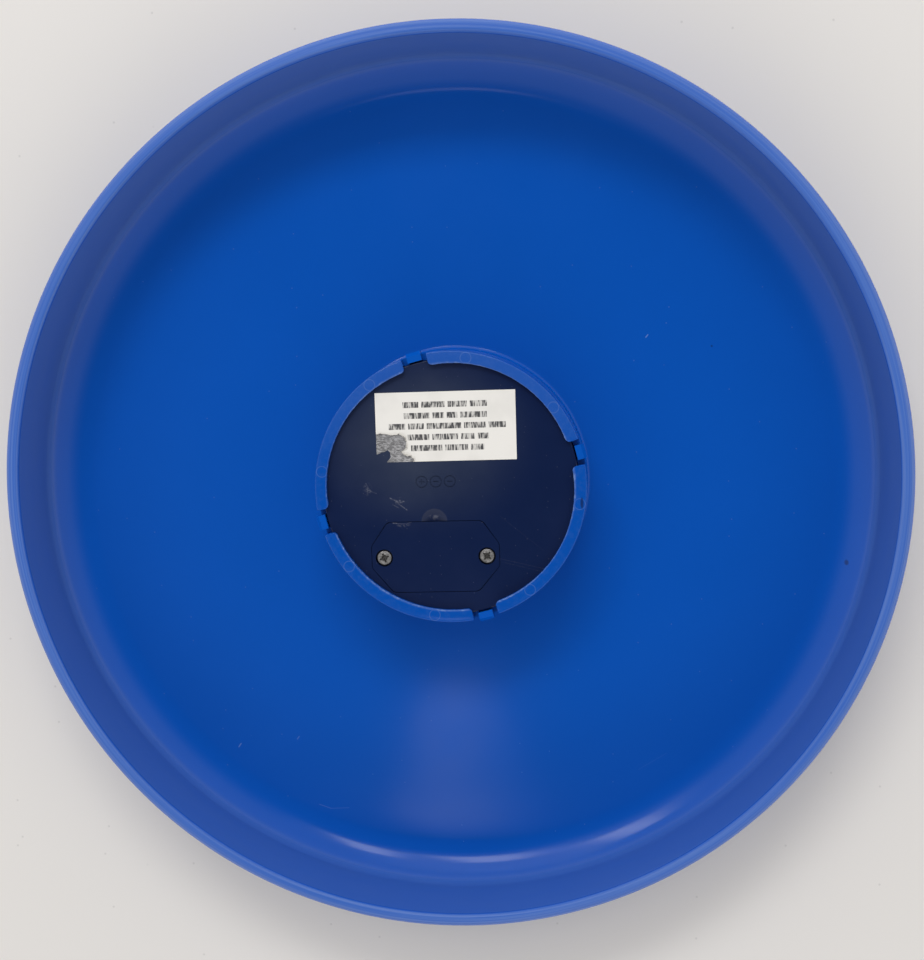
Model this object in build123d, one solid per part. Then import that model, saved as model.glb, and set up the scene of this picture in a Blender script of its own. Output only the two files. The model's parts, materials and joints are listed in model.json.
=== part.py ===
from build123d import *

import os
from math import asin, cos, radians, sin

# A flying disc with a voice module in its middle, lying on its crown, in millimetres.
# Z is the spin axis. Z = 0 is the plane that the crown rests on, and +Z points out of the
# open underside, where the rim's lip and the module's battery cover are.

# Disc
DISC_RADIUS = 125.0
DISC_HEIGHT = 30.0
PLATE_THICKNESS = 2.2
PLATE_RADIUS = 108.9
PLATE_DOME = 0.8
SHOULDER_RADIUS = 17.0
SHOULDER_ANGLE = 43.0
OUTER_TURN_RADIUS = 5.0
OUTER_TURN_END = 87.0
RIM_INNER_RADIUS = 120.9
WALL_FOOT_FILLET = 4.0
LIP_FLAT = (121.9, 123.4)
LIP_INNER_DROP = 1.0
EQUATOR_DROP = 3.0

# Latch ring under the crown, and the four latches that pass up through the collar
RING_THICKNESS = 1.8
RING_INNER_RADIUS = 32.5
RING_OUTER_RADIUS = 42.0
RING_CHAMFER = 0.4
RING_LATCH_ROOT = 0.5
LAND_RADIUS = 44.0
LATCH_COUNT = 4
LATCH_ANGLE = 14.0
LATCH_WIDTH = 4.0
LATCH_STEM = (35.75, 36.8)
LATCH_HEAD_RADIUS = 38.4
LATCH_HEAD_LOW = 22.2
LATCH_HEAD_TOP = 27.2
LATCH_LEAD_IN = (0.9, 1.2)
LATCH_GROOVE_RADIUS = 36.9
LATCH_SIDE_PLAY = 0.3

# Collar that holds the module, with its lips split into four by the latch gaps
COLLAR_BORE = 35.7
COLLAR_TOP = 28.0
COLLAR_TOP_RADIUS = 37.5
COLLAR_FOOT_RADIUS = 38.3
COLLAR_FOOT_FILLET = 1.2
COLLAR_EDGE = 0.4
LIP_THICKNESS = 1.3
LIP_OPENING = 34.0
LIP_TRIMS = ((0.1, 0.35, -0.1), (-0.1, 0.3, 0.2), (0.15, 0.0, 0.1), (0.0, 0.25, -0.2))
LIP_CORNER = 1.3
GAP_ANGLE = 11.0
GAP_FLOOR = 22.0
PIN_MARK_COUNT = 8
PIN_MARK_RADIUS = 1.6
PIN_MARK_DEPTH = 0.1

# Module shells
MODULE_RADIUS = 35.4
WALL = 1.8
JOIN = 0.5
FACE_RADIUS = 32.2
FACE_LEVEL = 0.5
FLOOR_TOP = 2.5
STEP_TOP = 3.6
STEP_WIDTH = 1.2
SPLIT_LEVEL = 24.2
COVER_TOP = 26.6
SPIGOT = (32.3, 33.5, 22.7)
COVER_EDGE = 0.3

# Battery door, with its centre off the module's axis
DOOR_CENTRE = (-4.7, -19.3)
DOOR_OUTLINE = ((13.1, 9.9), (17.7, 3.4), (17.7, -2.8), (11.8, -9.7))
DOOR_CORNER = 2.2
DOOR_GAP = 0.15
DOOR_BOTTOM = 25.45
DOOR_LEDGE = 25.4
DOOR_SCREW_OFFSET = 14.3
DOOR_LUG_RADIUS = 2.9
DOOR_LUG_LOW = 24.4
DOOR_BOSS_RADIUS = 4.0
DOOR_BOSS_LOW = 16.0
DOOR_SCREW_HEAD = (2.25, 25.1, 26.4)
SCREW_PLAY = 0.2
DOOR_SCREW_SHANK = (1.1, 17.6)
DOOR_SCREW_TURNS = (20.0, 52.0)
DOOR_THREAD_PLAY = 0.08
THUMB_NOTCH_RADIUS = 3.6
THUMB_NOTCH_DEPTH = 0.8

# Polarity mark beside the label
MARK_CENTRE = (-4.0, 1.7)
MARK_SPACING = 3.9
MARK_RING = (1.65, 1.4)
MARK_SIGN = 0.7
MARK_STROKE = 0.12
MARK_DEPTH = 0.15

# Battery trough and the cells in it
TROUGH_HALF = (9.7, 6.1)
TROUGH_WALL = 1.2
TROUGH_FLOOR = 13.2
CELL_RADIUS = 5.8
CELL_CAP_RADIUS = 4.6
CELL_THICKNESS = 5.4
CELL_CAN_THICKNESS = 4.8
CELL_EDGE = 0.35
CELL_COUNT = 3
CELL_PITCH = 5.45
CELL_AXIS_LEVEL = 19.3
CELL_START = -8.95
CONTACT_INSET = 9.65
CONTACT_THICKNESS = 0.4
CONTACT_HALF_WIDTH = 4.0
CONTACT_LEVELS = (13.8, 23.8)
CONTACT_TAB_HALF_WIDTH = 1.5
CONTACT_TAB_LOW = 9.7
SLOT_PLAY = 0.1
SPRING_WIRE_RADIUS = 0.25
SPRING_RADIUS = 3.6
SPRING_HEIGHT = 1.24
SPRING_TURNS = 2.0
SPRING_CONE_ANGLE = -45.0
STRIP_THICKNESS = 0.12
STRIP_HALF_WIDTH = 2.5
STRIP_LOW = 15.0
STRIP_FLAP = 16.2
STACK_GAP = 0.04

# Screws that hold the two shells together
HOUSING_SCREW_RADIUS = 30.0
HOUSING_SCREW_ANGLES = (22.0, 158.0, 270.0)
HOUSING_BOSS_RADIUS = 3.2
HOUSING_BOSS_TOP = 13.0
HOUSING_SEAT_LEVEL = 8.0
HOUSING_BORE_RADIUS = 2.4
COVER_BOSS_RADIUS = 2.6
HOUSING_SCREW_SHANK = 1.1
HOUSING_SCREW_TIP = 20.0
HOUSING_SCREW_HEAD = (2.2, 6.4)

# Shape shared by all the screws; shares are of the shank's or the head's size
THREAD_PITCH = 0.8
THREAD_ROOT_SHARE = 0.8
TIP_SHARE = 0.4
HEAD_CROWN = ((1.0, 0.45), (0.85, 0.85), (0.5, 1.0), (0.0, 1.0))
RECESS_REACH = 0.58
RECESS_LOW = 0.25
RECESS_ARM = 0.24

# Circuit board
BOARD_OUTLINE = ((27.0, -12.5), (27.0, -17.0), (20.0, -25.5), (-20.0, -25.5), (-27.0, -17.0), (-27.0, -12.5))
BOARD_BOTTOM = 9.6
BOARD_TOP = 10.8
BOARD_POSTS = ((24.5, -15.0), (-24.5, -15.0))
BOARD_POST_RADIUS = 2.2
BOARD_POST_BORE_LOW = 4.5
BOARD_CORNER = 1.0
BOARD_SCREW_RADIUS = 0.9
BOARD_SCREW_HEAD = (1.9, 1.1)
BOARD_SCREW_LENGTH = 5.5
CHIP_PLACE = (15.5, -21.6)
CHIP_SIZE = (3.6, 1.5)
CAPACITOR_PLACE = (17.0, -14.9)
CAPACITOR_SIZE = (2.5, 7.0)
CAPACITOR_CRIMP = 0.3
RESISTOR_PLACES = ((-24.0, -19.5), (-21.5, -21.5), (-18.0, -14.5), (-21.0, -17.3), (22.5, -19.0))
RESISTOR_SIZE = (2.0, 1.2, 0.5)

# Keys: place, key radius, flange radius
PLAY_KEY = (-12.0, -20.0, 5.2, 6.4)
RECORD_KEY = (12.0, -20.0, 3.6, 4.8)
KEY_PLAY = 0.25
KEY_LEVEL = 0.7
KEY_FLANGE = (2.6, 3.6)
KEY_EDGE = 0.4
KEY_STEM_RADIUS = 1.8
PLUNGER_RADIUS = 1.6
PLUNGER_PLAY = 0.1
PLUNGER_LEVELS = (5.0, 7.4)
SWITCH_SIZE = 6.0
SWITCH_PLATE_LEVELS = (5.9, 6.2)
SWITCH_BORE_TOP = 8.2

# Microphone
MICROPHONE_PLACE = (0.0, -19.0)
MICROPHONE_HOLE_RADIUS = 0.8
MICROPHONE_LEAD = (0.25, 1.27)
CAPSULE_RADIUS = 3.0
CAPSULE_LEVELS = (3.2, 5.8)
BOOT_RADIUS = 4.0
BOOT_TOP = 6.2

# Loudspeaker
SPEAKER_PLACE = (0.0, 10.0)
SPEAKER_RADIUS = 20.0
SPEAKER_FLANGE = (3.3, 4.1)
GASKET_INNER_RADIUS = 17.4
GASKET_TOP = 3.1
BASKET_LEVELS = (8.8, 9.6)
BASKET_RADII = (18.6, 18.0, 11.4, 11.0, 6.9)
WINDOW_COUNT = 4
WINDOW_RADII = (12.2, 17.4)
WINDOW_HALF_WIDTH = 4.2
WINDOW_TOP = 8.4
MAGNET_RADII = (10.5, 7.4)
MAGNET_TOP = 12.4
YOKE_RADIUS = 10.0
YOKE_TOP = 13.6
POLE_RADIUS = 5.4
COIL_RADII = (6.5, 5.9)
COIL_LEVELS = (6.75, 11.4)
CONE_THICKNESS = 0.2
CONE_ROLL = ((19.6, 3.2), (17.4, 3.2), (16.5, 3.9), (15.5, 3.3))
CONE_MIDDLE = ((6.6, 6.5), (5.2, 5.6), (2.8, 4.9), (0.0, 4.7))
STAKE_ANGLES = (30.0, 150.0, 270.0)
STAKE_PITCH_RADIUS = 21.6
STAKE_RADIUS = 1.2
STAKE_HEAD_RADIUS = 2.1
STAKE_HEAD_GAP = 0.05
STAKE_HEAD_HEIGHT = 0.85
GRILLE_RINGS = 3
GRILLE_PITCH = 4.2
GRILLE_HOLE_RADIUS = 1.0

# Paper label, torn at its lower left corner
LABEL_CENTRE = (-0.8, 16.9)
LABEL_SIZE = (38.6, 19.1)
LABEL_THICKNESS = 0.12
TORN_EDGE = ((2.8, 0.0), (3.2, 0.6), (3.9, 1.4), (3.8, 2.5), (3.1, 3.4), (2.3, 2.9), (1.3, 2.8), (0.0, 2.2))

# Wires from the loudspeaker's terminals to the board
WIRE_RADIUS = 0.5
WIRE_BEND = 1.6
WIRE_START_Y = -1.6
WIRE_END_Y = -14.2
RED_WIRE = (2.0, 11.6, 13.0)
BLACK_WIRE = (-2.0, 9.0, 12.6)
TERMINAL_SIZE = (7.0, 3.2, 0.8)
TERMINAL_OFFSET = 11.4


# How far in from the corner the middle of a quarter circle lies, as a share of its radius
ARC_MIDDLE = 1.0 - cos(radians(45.0))


# Basic solids

def round_bar(radius, low, high, place=(0.0, 0.0)):
    """An upright cylinder between two levels."""
    bar = Cylinder(radius, high - low, align=(Align.CENTER, Align.CENTER, Align.MIN))
    return Pos(place[0], place[1], low) * bar


def tube(outer, inner, low, high, place=(0.0, 0.0)):
    """An upright tube between two levels."""
    return round_bar(outer, low, high, place) - round_bar(inner, low - 1.0, high + 1.0, place)


def block(x_range, y_range, z_range):
    """A box between the given limits."""
    size = [limits[1] - limits[0] for limits in (x_range, y_range, z_range)]
    centre = [sum(limits) / 2.0 for limits in (x_range, y_range, z_range)]
    return Pos(*centre) * Box(*size)


def spun(outline, place=(0.0, 0.0)):
    """The solid that a closed outline of (radius, level) points sweeps round an upright axis."""
    wire = Polyline(*[(radius, 0.0, level) for radius, level in outline], close=True)
    return Pos(place[0], place[1], 0.0) * revolve(make_face(wire), Axis.Z)


def prism(outline, low, high, corner=0.0, place=(0.0, 0.0)):
    """An upright prism with rounded corners on a closed outline of (x, y) points."""
    points = [(x + place[0], y + place[1], low) for x, y in outline]
    if corner > 0.0:
        wire = FilletPolyline(*points, radius=corner, close=True)
    else:
        wire = Polyline(*points, close=True)
    return extrude(make_face(wire), high - low, dir=(0.0, 0.0, 1.0))


def polar(radius, angle):
    """The (x, y) point at this radius and angle in degrees."""
    return radius * cos(radians(angle)), radius * sin(radians(angle))


def cap_ball_radius(radius, height):
    """The radius of the ball whose cap has this rim radius and height."""
    return (radius ** 2 + height ** 2) / (2.0 * height)


def copies_round(shape, count, first_angle=0.0):
    """Copies of a shape spaced evenly round the disc's axis."""
    return [Rot(0.0, 0.0, first_angle + 360.0 * index / count) * shape for index in range(count)]


# Disc

def shoulder_point(start, radius, angle):
    """The point on a shoulder arc that leaves the flat plate at start."""
    return start[0] + radius * sin(radians(angle)), start[1] + radius * (1.0 - cos(radians(angle)))


def upright(point):
    """A (radius, level) pair as a point in the XZ plane."""
    return point[0], 0.0, point[1]


def arc_through(first, middle, last):
    """An arc in the XZ plane through three (radius, level) pairs."""
    return ThreePointArc(upright(first), upright(middle), upright(last))


def straight(first, last):
    """A line in the XZ plane between two (radius, level) pairs."""
    return Line(upright(first), upright(last))


def disc_section():
    """The closed outline of the disc and its collar, to one side of the axis."""
    crown = RING_THICKNESS
    plate_top = crown + PLATE_THICKNESS
    half_angle = SHOULDER_ANGLE / 2.0

    land_end = (LAND_RADIUS, crown)
    crown_edge = (PLATE_RADIUS, crown + PLATE_DOME)
    crown_middle = ((LAND_RADIUS + PLATE_RADIUS) / 2.0, crown + PLATE_DOME / 4.0)
    outer_radius = SHOULDER_RADIUS + PLATE_THICKNESS
    outer_half = shoulder_point(crown_edge, outer_radius, half_angle)
    outer_end = shoulder_point(crown_edge, outer_radius, SHOULDER_ANGLE)

    turn_centre = (outer_end[0] - OUTER_TURN_RADIUS * sin(radians(SHOULDER_ANGLE)),
                   outer_end[1] + OUTER_TURN_RADIUS * cos(radians(SHOULDER_ANGLE)))
    turn_start = (turn_centre[0], turn_centre[1] - OUTER_TURN_RADIUS)
    turn_half = shoulder_point(turn_start, OUTER_TURN_RADIUS, (SHOULDER_ANGLE + OUTER_TURN_END) / 2.0)
    turn_end = shoulder_point(turn_start, OUTER_TURN_RADIUS, OUTER_TURN_END)

    equator = (DISC_RADIUS, DISC_HEIGHT - EQUATOR_DROP)
    lip_outer = (LIP_FLAT[1], DISC_HEIGHT)
    lip_inset = DISC_RADIUS - LIP_FLAT[1]
    lip_round = (EQUATOR_DROP ** 2 + lip_inset ** 2) / (2.0 * lip_inset)
    lip_half_turn = asin(EQUATOR_DROP / lip_round) / 2.0
    lip_outer_mid = (DISC_RADIUS - lip_round * (1.0 - cos(lip_half_turn)),
                     equator[1] + lip_round * sin(lip_half_turn))
    lip_inner = (LIP_FLAT[0], DISC_HEIGHT)
    lip_inner_mid = (RIM_INNER_RADIUS + (LIP_FLAT[0] - RIM_INNER_RADIUS) * ARC_MIDDLE,
                     DISC_HEIGHT - LIP_INNER_DROP * ARC_MIDDLE)
    wall_top = (RIM_INNER_RADIUS, DISC_HEIGHT - LIP_INNER_DROP)

    plate_edge = (PLATE_RADIUS, plate_top + PLATE_DOME)
    inner_half = shoulder_point(plate_edge, SHOULDER_RADIUS, half_angle)
    wall_foot = shoulder_point(plate_edge, SHOULDER_RADIUS, SHOULDER_ANGLE)
    fillet_foot = (COLLAR_FOOT_RADIUS + COLLAR_FOOT_FILLET, plate_top)
    fillet_mid = (COLLAR_FOOT_RADIUS + COLLAR_FOOT_FILLET * ARC_MIDDLE,
                  plate_top + COLLAR_FOOT_FILLET * ARC_MIDDLE)
    fillet_head = (COLLAR_FOOT_RADIUS, plate_top + COLLAR_FOOT_FILLET)
    plate_middle = ((fillet_foot[0] + PLATE_RADIUS) / 2.0, plate_top + PLATE_DOME / 4.0)

    collar_shoulder = (COLLAR_TOP_RADIUS, COLLAR_TOP - COLLAR_EDGE)
    collar_rim = (COLLAR_TOP_RADIUS - COLLAR_EDGE, COLLAR_TOP)

    edges = [
        straight((COLLAR_BORE, crown), land_end),
        arc_through(land_end, crown_middle, crown_edge),
        arc_through(crown_edge, outer_half, outer_end),
        arc_through(outer_end, turn_half, turn_end),
        straight(turn_end, equator),
        arc_through(equator, lip_outer_mid, lip_outer),
        straight(lip_outer, lip_inner),
        arc_through(lip_inner, lip_inner_mid, wall_top),
        straight(wall_top, wall_foot),
        arc_through(wall_foot, inner_half, plate_edge),
        arc_through(plate_edge, plate_middle, fillet_foot),
        arc_through(fillet_foot, fillet_mid, fillet_head),
        straight(fillet_head, collar_shoulder),
        straight(collar_shoulder, collar_rim),
        straight(collar_rim, (COLLAR_BORE, COLLAR_TOP)),
        straight((COLLAR_BORE, COLLAR_TOP), (COLLAR_BORE, crown)),
    ]
    face = make_face(edges)
    foot = face.vertices().sort_by_distance(upright(wall_foot))[0]
    return fillet(foot, WALL_FOOT_FILLET)


def lip_segment(index):
    """One inward lip between two latch gaps, a little narrower or wider towards its ends."""
    step = 360.0 / LATCH_COUNT
    first = LATCH_ANGLE + step * index + GAP_ANGLE / 2.0
    last = first + step - GAP_ANGLE
    middle = (first + last) / 2.0
    outer_radius = COLLAR_TOP_RADIUS - COLLAR_EDGE
    inner_radii = [LIP_OPENING + trim for trim in LIP_TRIMS[index]]
    inner = [polar(radius, angle) for radius, angle in zip(inner_radii, (first, middle, last))]
    outer = [polar(outer_radius, angle) for angle in (first, middle, last)]
    face = make_face([
        ThreePointArc(*inner),
        Line(inner[2], outer[2]),
        ThreePointArc(*outer),
        Line(outer[0], inner[0]),
    ])
    corners = [face.vertices().sort_by_distance(inner[0])[0], face.vertices().sort_by_distance(inner[2])[0]]
    return Pos(0.0, 0.0, COLLAR_TOP - LIP_THICKNESS) * extrude(fillet(corners, LIP_CORNER), LIP_THICKNESS)


def gap_wedge():
    """The space of one latch gap, cut through the collar's wall and lips."""
    half = GAP_ANGLE / 2.0
    near, far = LIP_OPENING - 4.0, LATCH_HEAD_RADIUS + 3.0
    corners = [polar(near, -half), polar(far, -half), polar(far, half), polar(near, half)]
    return prism(corners, GAP_FLOOR, DISC_HEIGHT)


def latch_groove():
    """The channel that one latch's stem runs in, through the plate and up the collar's bore."""
    half_width = LATCH_WIDTH / 2.0 + LATCH_SIDE_PLAY
    return block((COLLAR_BORE - 2.0, LATCH_GROOVE_RADIUS), (-half_width, half_width), (0.0, GAP_FLOOR + 1.0))


def disc_shell():
    """The moulded disc: plate, shoulder, rim, collar and the four lip segments."""
    shell = revolve(disc_section(), Axis.Z)
    for wedge in copies_round(gap_wedge(), LATCH_COUNT, LATCH_ANGLE):
        shell -= wedge
    for index in range(LATCH_COUNT):
        shell += lip_segment(index)
    for groove in copies_round(latch_groove(), LATCH_COUNT, LATCH_ANGLE):
        shell -= groove
    mark_radius = (LIP_OPENING + COLLAR_TOP_RADIUS) / 2.0
    first_mark = LATCH_ANGLE + 180.0 / PIN_MARK_COUNT
    mark = round_bar(PIN_MARK_RADIUS, COLLAR_TOP - PIN_MARK_DEPTH, DISC_HEIGHT, (mark_radius, 0.0))
    for pin_mark in copies_round(mark, PIN_MARK_COUNT, first_mark):
        shell -= pin_mark
    return shell


def latch_ring():
    """The ring under the crown, with the four latches that hook over the collar's gaps."""
    ring = spun((
        (RING_INNER_RADIUS, RING_THICKNESS),
        (RING_INNER_RADIUS, 0.0),
        (RING_OUTER_RADIUS - RING_CHAMFER, 0.0),
        (RING_OUTER_RADIUS, RING_CHAMFER),
        (RING_OUTER_RADIUS, RING_THICKNESS),
    ))
    inner, outer = LATCH_STEM
    lead_width, lead_height = LATCH_LEAD_IN
    profile = (
        (inner, RING_LATCH_ROOT),
        (outer, RING_LATCH_ROOT),
        (outer, LATCH_HEAD_LOW),
        (LATCH_HEAD_RADIUS, LATCH_HEAD_LOW),
        (LATCH_HEAD_RADIUS, LATCH_HEAD_TOP - lead_height),
        (LATCH_HEAD_RADIUS - lead_width, LATCH_HEAD_TOP),
        (inner, LATCH_HEAD_TOP),
    )
    wire = Polyline(*[(radius, LATCH_WIDTH / 2.0, level) for radius, level in profile], close=True)
    latch = extrude(make_face(wire), LATCH_WIDTH, dir=(0.0, -1.0, 0.0))
    for copy in copies_round(latch, LATCH_COUNT, LATCH_ANGLE):
        ring += copy
    return ring


# Module shells

def housing_screw_places():
    """Places of the screws that join the two shells."""
    return [polar(HOUSING_SCREW_RADIUS, angle) for angle in HOUSING_SCREW_ANGLES]


def door_screw_places():
    """Places of the two door screws, left one first."""
    x, y = DOOR_CENTRE
    return [(x - DOOR_SCREW_OFFSET, y), (x + DOOR_SCREW_OFFSET, y)]


def speaker_stakes():
    """The heat-formed posts that hold down the loudspeaker's flange."""
    stakes = []
    head_low = SPEAKER_FLANGE[1] + STAKE_HEAD_GAP
    for angle in STAKE_ANGLES:
        x, y = polar(STAKE_PITCH_RADIUS, angle)
        place = (x + SPEAKER_PLACE[0], y + SPEAKER_PLACE[1])
        stakes.append(round_bar(STAKE_RADIUS, FLOOR_TOP - JOIN, head_low + JOIN, place))
        stakes.append(round_bar(STAKE_HEAD_RADIUS, head_low, head_low + STAKE_HEAD_HEIGHT, place))
    return stakes


def grille_places():
    """Places of the sound holes: one in the centre and rings of six, twelve and more."""
    places = [SPEAKER_PLACE]
    for ring in range(1, GRILLE_RINGS + 1):
        for index in range(6 * ring):
            x, y = polar(GRILLE_PITCH * ring, 60.0 * index / ring)
            places.append((x + SPEAKER_PLACE[0], y + SPEAKER_PLACE[1]))
    return places


def front_housing():
    """The cup on the crown side, with the grille, the key holes and the posts."""
    inside = MODULE_RADIUS - WALL
    floor_radius = FACE_RADIUS - STEP_WIDTH
    cup = spun((
        (0.0, FACE_LEVEL),
        (FACE_RADIUS, FACE_LEVEL),
        (FACE_RADIUS, RING_THICKNESS),
        (MODULE_RADIUS, RING_THICKNESS),
        (MODULE_RADIUS, SPLIT_LEVEL),
        (inside, SPLIT_LEVEL),
        (inside, STEP_TOP),
        (floor_radius, STEP_TOP),
        (floor_radius, FLOOR_TOP),
        (0.0, FLOOR_TOP),
    ))
    for place in housing_screw_places():
        cup += round_bar(HOUSING_BOSS_RADIUS, FLOOR_TOP - JOIN, HOUSING_BOSS_TOP, place)
    for place in BOARD_POSTS:
        cup += round_bar(BOARD_POST_RADIUS, FLOOR_TOP - JOIN, BOARD_BOTTOM, place)
    for stake in speaker_stakes():
        cup += stake
    for place in housing_screw_places():
        cup -= round_bar(HOUSING_BORE_RADIUS, 0.0, HOUSING_SEAT_LEVEL, place)
        cup -= round_bar(HOUSING_SCREW_SHANK + SCREW_PLAY, 0.0, DISC_HEIGHT, place)
    for place in BOARD_POSTS:
        cup -= round_bar(BOARD_SCREW_RADIUS, BOARD_POST_BORE_LOW, DISC_HEIGHT, place)
    for key in (PLAY_KEY, RECORD_KEY):
        cup -= round_bar(key[2] + KEY_PLAY, 0.0, STEP_TOP, key[:2])
    cup -= round_bar(MICROPHONE_HOLE_RADIUS, 0.0, STEP_TOP, MICROPHONE_PLACE)
    for place in grille_places():
        cup -= round_bar(GRILLE_HOLE_RADIUS, 0.0, STEP_TOP, place)
    return cup


def door_outline(gap=0.0):
    """The eight corners of the door, moved outwards by a gap."""
    top, upper_side, lower_side, bottom = DOOR_OUTLINE
    right = [
        (top[0] + gap, top[1] + gap),
        (upper_side[0] + gap, upper_side[1]),
        (lower_side[0] + gap, lower_side[1]),
        (bottom[0] + gap, bottom[1] - gap),
    ]
    left = [(-x, y) for x, y in reversed(right)]
    return right + left


def polarity_mark():
    """Shallow grooves beside the label: three ringed cells with a plus and a minus sign."""
    levels = (COVER_TOP - MARK_DEPTH, COVER_TOP + 1.0)
    centre_x, y = MARK_CENTRE
    outer, inner = MARK_RING
    stroke = (-MARK_STROKE, MARK_STROKE)
    reach = (-MARK_SIGN, MARK_SIGN)
    plus_x = centre_x - MARK_SPACING
    grooves = [block([plus_x + end for end in stroke], [y + end for end in reach], levels)]
    for x in (plus_x, centre_x, centre_x + MARK_SPACING):
        grooves.append(tube(outer, inner, *levels, (x, y)))
        grooves.append(block([x + end for end in reach], [y + end for end in stroke], levels))
    return grooves


def thumb_notch():
    """The scooped half-round hollow beside the door's top edge."""
    x, y = DOOR_CENTRE[0], DOOR_CENTRE[1] + DOOR_OUTLINE[0][1]
    ball_radius = cap_ball_radius(THUMB_NOTCH_RADIUS, THUMB_NOTCH_DEPTH)
    scoop = Pos(x, y, COVER_TOP + ball_radius - THUMB_NOTCH_DEPTH) * Sphere(ball_radius)
    reach = 1.5 * THUMB_NOTCH_RADIUS
    half = block((x - reach, x + reach), (y, y + reach), (DOOR_LEDGE, COVER_TOP + THUMB_NOTCH_DEPTH))
    return scoop & half


def contact_slots(half_width, low, high):
    """Slots at both ends of the trough for the contacts' solder tabs."""
    x, y = DOOR_CENTRE
    slots = []
    near, far = CONTACT_INSET - CONTACT_THICKNESS - SLOT_PLAY, CONTACT_INSET + SLOT_PLAY / 2.0
    for side in (-1.0, 1.0):
        ends = sorted((x + side * near, x + side * far))
        slots.append(block(ends, (y - half_width, y + half_width), (low, high)))
    return slots


def back_cover():
    """The round cover on the underside, with the trough for the cells."""
    x, y = DOOR_CENTRE
    cover = round_bar(MODULE_RADIUS, SPLIT_LEVEL, COVER_TOP)
    cover = fillet(cover.edges().filter_by(GeomType.CIRCLE).sort_by(Axis.Z)[-1], COVER_EDGE)
    joined = SPLIT_LEVEL + JOIN
    cover += tube(SPIGOT[1], SPIGOT[0], SPIGOT[2], joined)
    long_half, short_half = TROUGH_HALF
    cover += block((x - long_half - TROUGH_WALL, x + long_half + TROUGH_WALL),
                   (y - short_half - TROUGH_WALL, y + short_half + TROUGH_WALL),
                   (TROUGH_FLOOR - TROUGH_WALL, joined))
    for place in door_screw_places():
        cover += round_bar(DOOR_BOSS_RADIUS, DOOR_BOSS_LOW, joined, place)
    for place in housing_screw_places():
        cover += round_bar(COVER_BOSS_RADIUS, HOUSING_BOSS_TOP, joined, place)
    cover -= block((x - long_half, x + long_half), (y - short_half, y + short_half),
                   (TROUGH_FLOOR, COVER_TOP + 1.0))
    cover -= prism(door_outline(DOOR_GAP), DOOR_LEDGE, COVER_TOP + 1.0, DOOR_CORNER, DOOR_CENTRE)
    shank_radius, tip = DOOR_SCREW_SHANK
    for place in door_screw_places():
        cover -= round_bar(DOOR_LUG_RADIUS + DOOR_GAP, DOOR_LUG_LOW - SLOT_PLAY, COVER_TOP, place)
        cover -= round_bar(shank_radius + DOOR_THREAD_PLAY, tip - 1.0, COVER_TOP, place)
    for place in housing_screw_places():
        cover -= round_bar(HOUSING_SCREW_SHANK, HOUSING_BOSS_TOP - 1.0, HOUSING_SCREW_TIP + 1.0, place)
    tab_half_width = CONTACT_TAB_HALF_WIDTH + SLOT_PLAY
    for slot in contact_slots(tab_half_width, TROUGH_FLOOR - 2.0, TROUGH_FLOOR + JOIN):
        cover -= slot
    cover -= thumb_notch()
    for groove in polarity_mark():
        cover -= groove
    return cover


def battery_door():
    """The flush door over the cells, with a lug under each screw."""
    door = prism(door_outline(), DOOR_BOTTOM, COVER_TOP, DOOR_CORNER, DOOR_CENTRE)
    for place in door_screw_places():
        door += round_bar(DOOR_LUG_RADIUS, DOOR_LUG_LOW, DOOR_BOTTOM + JOIN, place)
    head_radius, seat = DOOR_SCREW_HEAD[:2]
    for place in door_screw_places():
        door -= round_bar(head_radius + DOOR_GAP, seat, COVER_TOP + 1.0, place)
        door -= round_bar(DOOR_SCREW_SHANK[0] + SCREW_PLAY, DOOR_LUG_LOW - 1.0, COVER_TOP, place)
    return door


# Fasteners

def screw(head_radius, head_height, shank_radius, length):
    """A cross-recess screw along Z, with its head's seat at Z = 0 and its tip below."""
    root = shank_radius * THREAD_ROOT_SHARE
    outline = [(0.0, -length), (root * TIP_SHARE, -length)]
    level = -length + shank_radius
    while level < -THREAD_PITCH:
        outline += [(root, level), (shank_radius, level + THREAD_PITCH / 2.0)]
        level += THREAD_PITCH
    outline += [(root, level), (shank_radius, 0.0), (head_radius, 0.0)]
    outline += [(head_radius * across, head_height * up) for across, up in HEAD_CROWN]
    return spun(outline) - cross_recess(head_radius, head_height)


def cross_recess(head_radius, head_height):
    """The cross-shaped hollow in a screw's head."""
    reach = head_radius * RECESS_REACH
    low = head_height * RECESS_LOW
    arm = block((-reach, reach), (-RECESS_ARM, RECESS_ARM), (low, head_height + 1.0))
    hub = Cone(RECESS_ARM, head_radius - reach, head_height, align=(Align.CENTER, Align.CENTER, Align.MIN))
    return arm + Rot(0.0, 0.0, 90.0) * arm + Pos(0.0, 0.0, low / 2.0) * hub


def door_screws():
    """The two screws that hold the door."""
    radius, seat, top = DOOR_SCREW_HEAD
    shank_radius, tip = DOOR_SCREW_SHANK
    made = screw(radius, top - seat, shank_radius, seat - tip)
    placed = zip(door_screw_places(), DOOR_SCREW_TURNS)
    return [Pos(*place, seat) * Rot(0.0, 0.0, turn) * made for place, turn in placed]


def housing_screws():
    """The three screws in the deep holes on the crown side, heads down."""
    radius, head_level = HOUSING_SCREW_HEAD
    made = screw(radius, HOUSING_SEAT_LEVEL - head_level, HOUSING_SCREW_SHANK,
                 HOUSING_SCREW_TIP - HOUSING_SEAT_LEVEL)
    flipped = Rot(180.0, 0.0, 0.0) * made
    return [Pos(*place, HOUSING_SEAT_LEVEL) * flipped for place in housing_screw_places()]


def board_screws():
    """The two small screws that hold the circuit board on its posts."""
    made = screw(*BOARD_SCREW_HEAD, BOARD_SCREW_RADIUS, BOARD_SCREW_LENGTH)
    return [Pos(*place, BOARD_TOP) * made for place in BOARD_POSTS]


# Cells and contacts

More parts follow.
